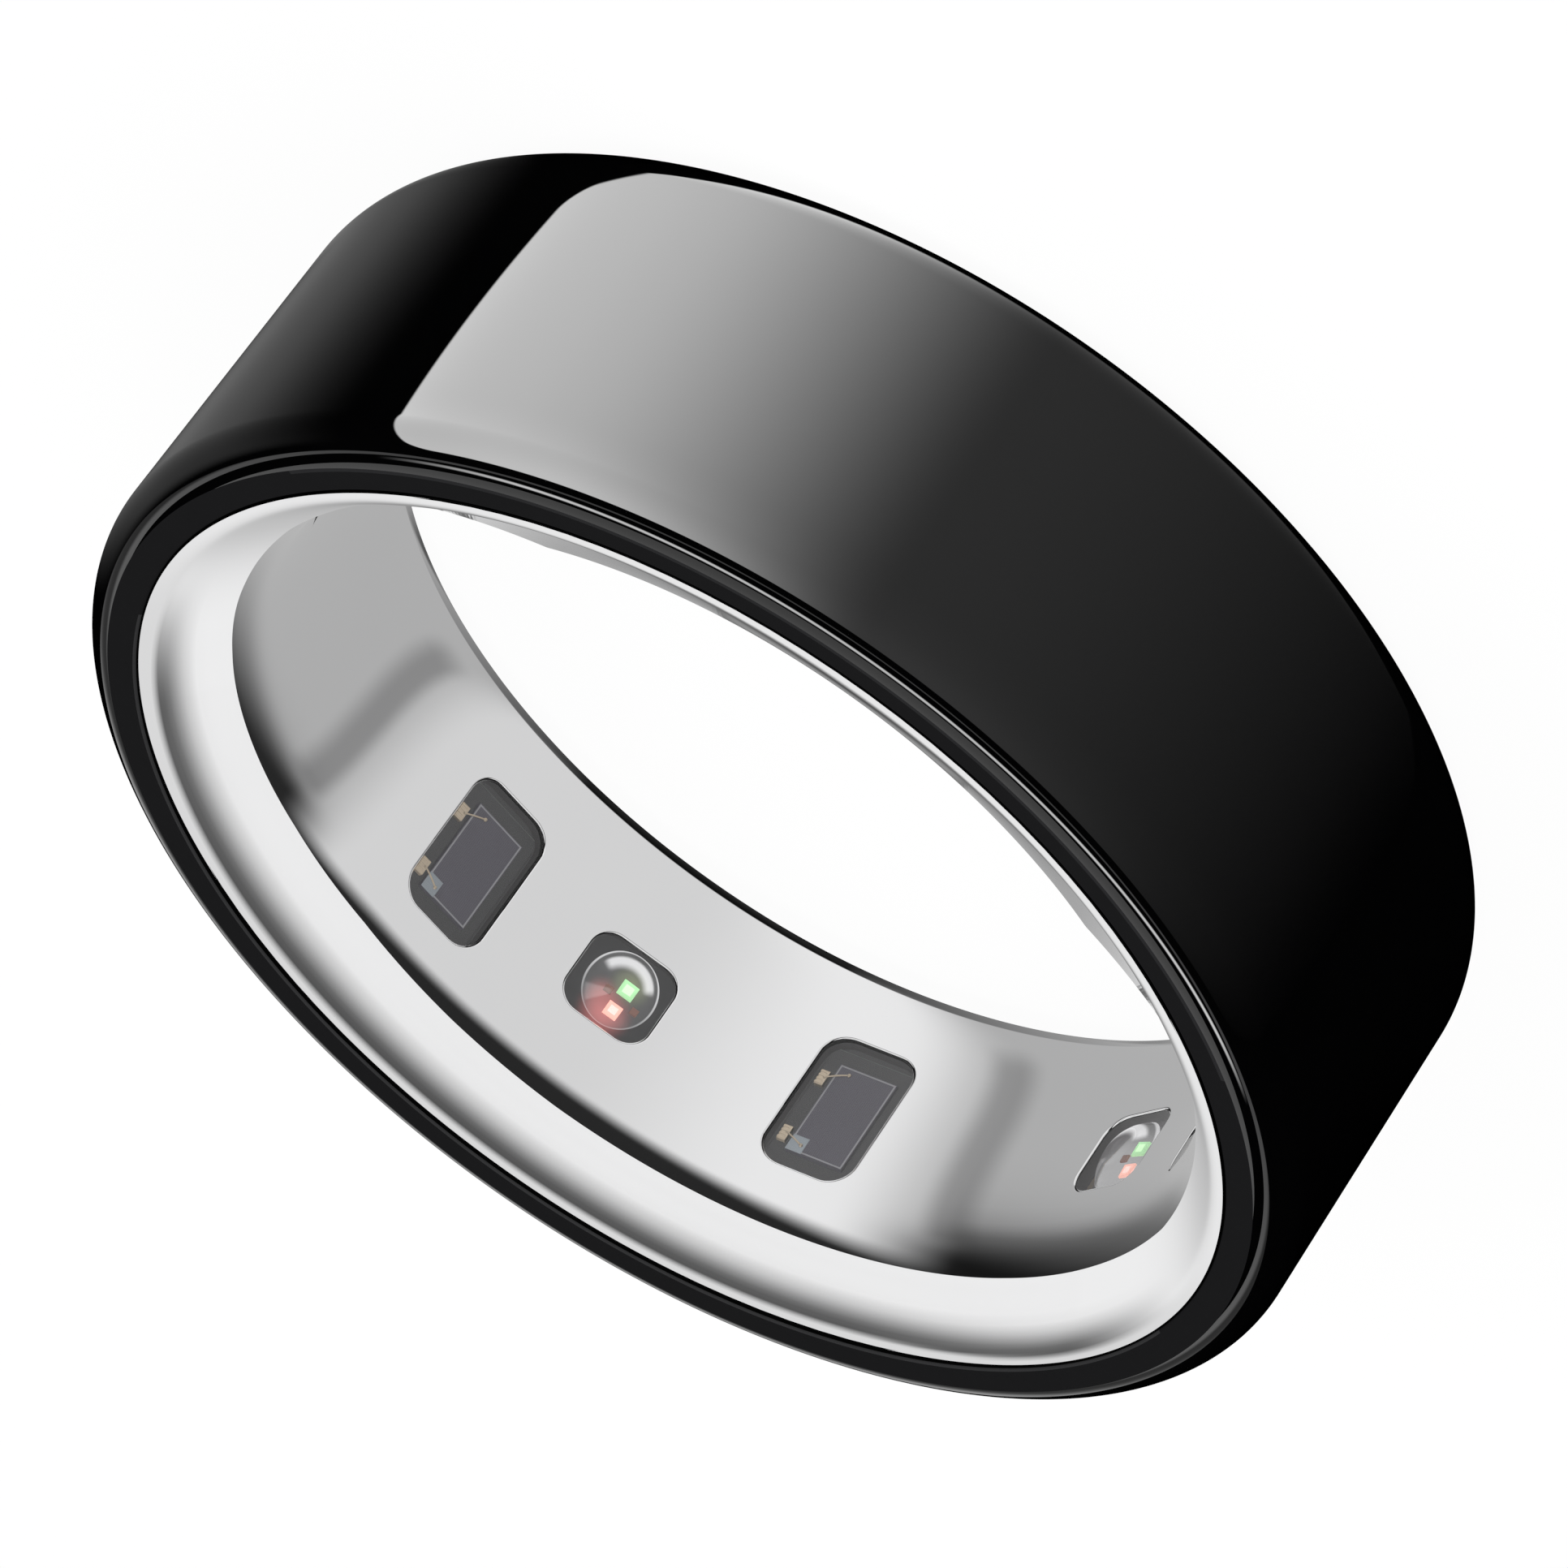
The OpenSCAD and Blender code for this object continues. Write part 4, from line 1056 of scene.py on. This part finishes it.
class RING_OT_stage(bpy.types.Operator):
    """Makes the floor, the card that the band mirrors, the surroundings, the lamps and the camera"""
    bl_idname = "ring.stage"
    bl_label = "Stage, light and camera"

    def execute(self, context):
        s, band = context.scene.ring_stage, context.scene.ring_band
        self.floor(s)
        self.card(s, band)
        self.surroundings(context.scene, s)
        self.lamps(context.scene)
        self.camera(context.scene, s, band)
        context.scene.view_settings.view_transform = "Standard"
        return {"FINISHED"}

    @staticmethod
    def floor(s):
        half = s.floor / 2
        mesh = bpy.data.meshes.new("floor")
        low = -0.00002
        mesh.from_pydata([(-half, -half, low), (half, -half, low), (half, half, low), (-half, half, low)],
                         [], [(0, 1, 2, 3)])
        material, n, shader, out = blank("floor_white")
        noise = n.add("TexNoise", Vector=object_place(n), Scale=300.0)
        finish_with(n, shader, out, Base_Color=n.mix(noise.outputs[0], tuple(v * 0.995 for v in s.pale),
                                                     tuple(s.pale)), Roughness=0.8)
        white = n.add("Emission", Color=(1.0, 1.0, 1.0), Strength=1.0)
        seen = n.times(n.add("LightPath").outputs["Is Camera Ray"], 0.955)
        mixed = n.add("MixShader", Fac=seen)
        n.tree.links.new(shader.outputs[0], mixed.inputs[1])
        n.tree.links.new(white.outputs[0], mixed.inputs[2])
        n.tree.links.new(mixed.outputs[0], out.inputs[0])
        mesh.materials.append(material)
        floor = bpy.data.objects.new("floor", mesh)
        bpy.context.scene.collection.objects.link(floor)
        floor.visible_glossy = False

    @staticmethod
    def card(s, band):
        """A card close round the band, seen only in its polish: a long soft box, a thin light above it
        and a dim end. It ends where a mirrored ray has gone further than the band's own."""
        radius = s.card_radius / MM
        shape = Shape()
        angles = even_angles(-180, 180, 1.0)

        def tall(g):
            return 8.6 + (2.0 * math.cos(math.radians(g + 90)) if g <= 0 else -1.4 * math.sin(math.radians(g)))

        def strip(a, b, rows, kind):
            for low, high in zip(rows, rows[1:]):
                four = [(low, a), (high, a), (high, b), (low, b)]
                shape.face([turned(g, row(g)[0], 0, row(g)[1]) for row, g in four], [turned(a, -1, 0, 0.3)] * 4, kind,
                           [((g + 180) / 360, (row(g)[2] + 2) / 16) for row, g in four])

        floor_rows = [lambda g: (radius - 1.7, 0.02, -1.7), lambda g: (radius, 0.02, 0.0)]
        wall_rows = [lambda g, k=k: (radius, 0.02 + tall(g) * k / 8, tall(g) * k / 8) for k in range(9)]
        roof_rows = [lambda g, r=r: (r, 9.2, r - 11.0) for r in (11.9, 12.3, 12.7)]
        for a, b in zip(angles, angles[1:]):
            strip(a, b, floor_rows, 0)
            strip(a, b, wall_rows, 0)
            if not 10 < (a + b) / 2 < 170:
                strip(a, b, roof_rows, 1)
        card = shape.build("mirrored_card", [RING_OT_stage.soft_box(radius), RING_OT_stage.thin_light()])
        for name in ("camera", "diffuse", "transmission", "shadow", "volume_scatter"):
            setattr(card, "visible_" + name, False)

    @staticmethod
    def near_light(name, fill):
        """A glow that only mirrored rays shorter than CARD_REACH meet. It is filled in by angle and height."""
        material, n, shader, out = blank(name)
        n.tree.nodes.remove(shader)
        parts = n.add("SeparateXYZ", Vector=flat_map(n)).outputs
        turn = n.scaled(parts["X"], 360.0, -180.0)
        high = n.scaled(parts["Y"], 16.0, -2.0)
        glow = n.add("Emission", Color=(1.0, 1.0, 1.0), Strength=fill(n, turn, high))
        far = n.sum("GREATER_THAN", n.add("LightPath").outputs["Ray Length"], CARD_REACH * MM)
        mixed = n.add("MixShader", Fac=far)
        n.tree.links.new(glow.outputs[0], mixed.inputs[1])
        n.tree.links.new(n.add("BsdfTransparent").outputs[0], mixed.inputs[2])
        n.tree.links.new(mixed.outputs[0], out.inputs[0])
        material.cycles.emission_sampling = "NONE"
        return material

    @staticmethod
    def soft_box(radius):
        """A long soft box with rounded corners, and a dim patch further round."""
        def fill(n, turn, high):
            slid = n.scaled(high, 0.13, n.plus(turn, 0.2))
            light = n.plus(n.step(slid, -141.0, -80.0, 0.0, 0.06), n.step(slid, -88.0, -56.0, 0.0, 0.77))
            light = n.times(n.minus(light, n.step(slid, -54.0, -42.0, 0.0, 0.09)),
                          n.step(high, 6.0, 8.4, 0.6, 0.87))
            off = n.sum("ABSOLUTE", n.plus(turn, 90.7))
            mid = n.minus(high, 4.0)
            reach = n.scaled(n.times(mid, mid), -0.1, 49.25)
            side = n.times(n.minus(reach, off), math.pi / 180 * radius)
            bow = n.times(n.sum("POWER", n.times(off, 1 / 44), 4.0), 1.05)
            under = n.minus(high, n.minus(bow, 0.6))
            over = n.minus(n.scaled(n.times(off, off), -0.00016, 8.85), high)
            low = n.sum("MINIMUM", under, over)
            px = n.sum("MAXIMUM", n.minus(0.45, side), 0.0)
            pz = n.sum("MAXIMUM", n.minus(0.45, low), 0.0)
            gone = n.length(px, pz)
            mask = n.step(gone, 0.41, 0.49, 1.0, 0.0)
            dim = n.times(n.hump(turn, -37.0, -18.0, -8.0, 14.0), 0.026)
            dim = n.times(dim, n.step(high, 7.9, 8.7, 1.0, 0.0))
            return n.scaled(n.times(light, mask), 16.7, n.times(dim, 10.0))
        return RING_OT_stage.near_light("soft_box_light", fill)

    @staticmethod
    def thin_light():
        """A thin bright line that bows gently along the roof."""
        def fill(n, turn, high):
            off = n.plus(turn, 91.0)
            middle = n.scaled(n.times(off, off), 0.000118, 1.14)
            line = n.step(n.sum("ABSOLUTE", n.minus(high, middle)), 0.04, 0.15, 1.0, 0.0)
            return n.times(n.times(line, n.hump(turn, -150.0, -138.0, -56.0, -37.0)), 11.5)
        return RING_OT_stage.near_light("thin_line_light", fill)

    @staticmethod
    def surroundings(scene, s):
        """White for the camera and clear glass; a pale room with soft dark flags for polished metal."""
        world = bpy.data.worlds.new("pale_room")
        world.use_nodes = True
        world.node_tree.nodes.clear()
        n = Nodes(world.node_tree)
        way = n.add("SeparateXYZ", Vector=n.add("TexCoord").outputs["Generated"])
        x, y, z = way.outputs
        turn = n.times(n.sum("ARCTAN2", y, x), 180 / math.pi)
        rise = n.times(n.sum("ARCSINE", z), 180 / math.pi)
        around = n.sum("MODULO", n.plus(turn, 630.0), 360.0)
        panel = n.times(n.hump(around, 90.0, 112.0, 240.0, 274.0), n.step(rise, 2.0, 13.0, 1.0, 0.0))
        glow = n.scaled(n.hump(around, 175.0, 228.0, 232.0, 290.0), 0.17, 0.65)
        shade = n.times(n.hump(around, 262.0, 278.0, 340.0, 358.0), n.step(rise, -30.0, -14.0, 0.0, 0.6))
        fill = n.times(n.step(rise, -26.0, 3.0, 0.42, 0.02), n.minus(1.0, shade))
        room = n.plus(n.times(panel, n.minus(glow, fill)), fill)
        low_flag = n.times(n.hump(n.sum("MODULO", n.plus(around, 180.0), 360.0), 146, 158, 208, 220),
                         n.step(rise, -50.0, -38.0, 0.95, 0.0))
        left_flag = n.times(n.hump(around, 80.0, 89.0, 92.0, 98.0), n.hump(rise, -48.0, -37.0, -20.0, -8.0))
        right_flag = n.times(n.hump(around, 260.0, 268.0, 271.0, 280.0), n.hump(rise, -46.0, -36.0, -14.0, -4.0))
        for flag, depth in ((low_flag, 1.0), (left_flag, 0.4), (right_flag, 0.35)):
            room = n.times(room, n.scaled(flag, -depth, 1.0))
        lift = n.scaled(y, 0.5, z)
        ceiling = n.plus(n.step(lift, 0.53, 0.77, 0.85, 0.2), n.step(lift, 0.81, 0.86, 0.0, 0.66))
        border = n.scaled(y, 20.0, n.minus(rise, 14.0))
        room = n.mix(n.step(border, -1.5, 1.5), room, ceiling)
        plain = n.add("Background", Color=(s.level,) * 3, Strength=1.0)
        mirror = n.add("Background", Color=room, Strength=1.13)
        white = n.add("Background", Color=(1.0, 1.0, 1.0), Strength=1.0)
        rays = n.add("LightPath").outputs
        first, second = n.add("MixShader", Fac=rays["Is Glossy Ray"]), n.add("MixShader")
        n.put(second.inputs[0], n.sum("MAXIMUM", rays["Is Camera Ray"], rays["Is Transmission Ray"]))
        out = n.add("OutputWorld")
        n.tree.links.new(plain.outputs[0], first.inputs[1])
        n.tree.links.new(mirror.outputs[0], first.inputs[2])
        n.tree.links.new(first.outputs[0], second.inputs[1])
        n.tree.links.new(white.outputs[0], second.inputs[2])
        n.tree.links.new(second.outputs[0], out.inputs[0])
        scene.world = world

    @staticmethod
    def lamps(scene):
        """Two large plain lamps that light what isn't polished and shade the floor softly."""
        for name, place, size, power in (("lamp_left", (-0.16, -0.14, 0.3), 0.22, 0.55),
                                         ("lamp_right", (0.2, 0.02, 0.26), 0.2, 0.35)):
            lamp = bpy.data.lights.new(name, "AREA")
            lamp.shape, lamp.size, lamp.energy = "DISK", size, power
            thing = bpy.data.objects.new(name, lamp)
            scene.collection.objects.link(thing)
            thing.location = place
            thing.rotation_euler = (Vector((0, 0, 0.004)) - Vector(place)).to_track_quat("-Z", "Y").to_euler()
            thing.visible_glossy = False
            thing.visible_transmission = False

    @staticmethod
    def camera(scene, s, band):
        """The camera at the photograph's viewing angle."""
        rise, roll = math.radians(CAMERA_RISE), math.radians(CAMERA_ROLL)
        right = Vector((1, 0, 0))
        up = Vector((0, math.sin(rise), math.cos(rise)))
        back = Vector((0, -math.cos(rise), math.sin(rise)))
        side = math.cos(roll) * right + math.sin(roll) * up
        head = -math.sin(roll) * right + math.cos(roll) * up
        data = bpy.data.cameras.new("camera")
        data.sensor_width, data.lens = 36.0, s.focal
        data.clip_start, data.clip_end = 0.005, 10.0
        thing = bpy.data.objects.new("camera", data)
        place = Vector(CAMERA_PLACE) + Vector((0, 0, band.width / 2))
        thing.matrix_world = Matrix.Translation(place) @ Matrix((side, head, back)).transposed().to_4x4()
        scene.collection.objects.link(thing)
        scene.camera = thing


class RING_PT_panel(bpy.types.Panel):
    """Lists the ring's pieces in the sidebar"""
    bl_idname = "RING_PT_panel"
    bl_label = "Smart ring"
    bl_space_type = "VIEW_3D"
    bl_region_type = "UI"
    bl_category = "Ring"

    def draw(self, context):
        for operator in OPERATORS:
            self.layout.operator(operator.bl_idname)
        for name, group_class in SETTINGS:
            box = self.layout.box()
            box.label(text=name.replace("_", " ").capitalize())
            for label in group_class.__annotations__:
                box.prop(getattr(context.scene, name), label)


SETTINGS = (("ring_band", RingBandSettings), ("ring_liner", RingLinerSettings),
            ("ring_window", RingWindowSettings), ("ring_sensor", RingSensorSettings),
            ("ring_stage", RingStageSettings))
OPERATORS = (RING_OT_band, RING_OT_liner, RING_OT_windows, RING_OT_detectors, RING_OT_lamps,
             RING_OT_inside, RING_OT_stage)


def register():
    for name, group_class in SETTINGS:
        bpy.utils.register_class(group_class)
        setattr(bpy.types.Scene, name, bpy.props.PointerProperty(type=group_class))
    for operator in OPERATORS:
        bpy.utils.register_class(operator)
    bpy.utils.register_class(RING_PT_panel)


def unregister():
    bpy.utils.unregister_class(RING_PT_panel)
    for operator in reversed(OPERATORS):
        bpy.utils.unregister_class(operator)
    for name, group_class in reversed(SETTINGS):
        delattr(bpy.types.Scene, name)
        bpy.utils.unregister_class(group_class)


def main():
    register()
    bpy.ops.ring.band()
    bpy.ops.ring.liner()
    bpy.ops.ring.windows()
    bpy.ops.ring.detectors()
    bpy.ops.ring.lamps()
    bpy.ops.ring.inside()
    bpy.ops.ring.stage()


if __name__ == "__main__":
    main()
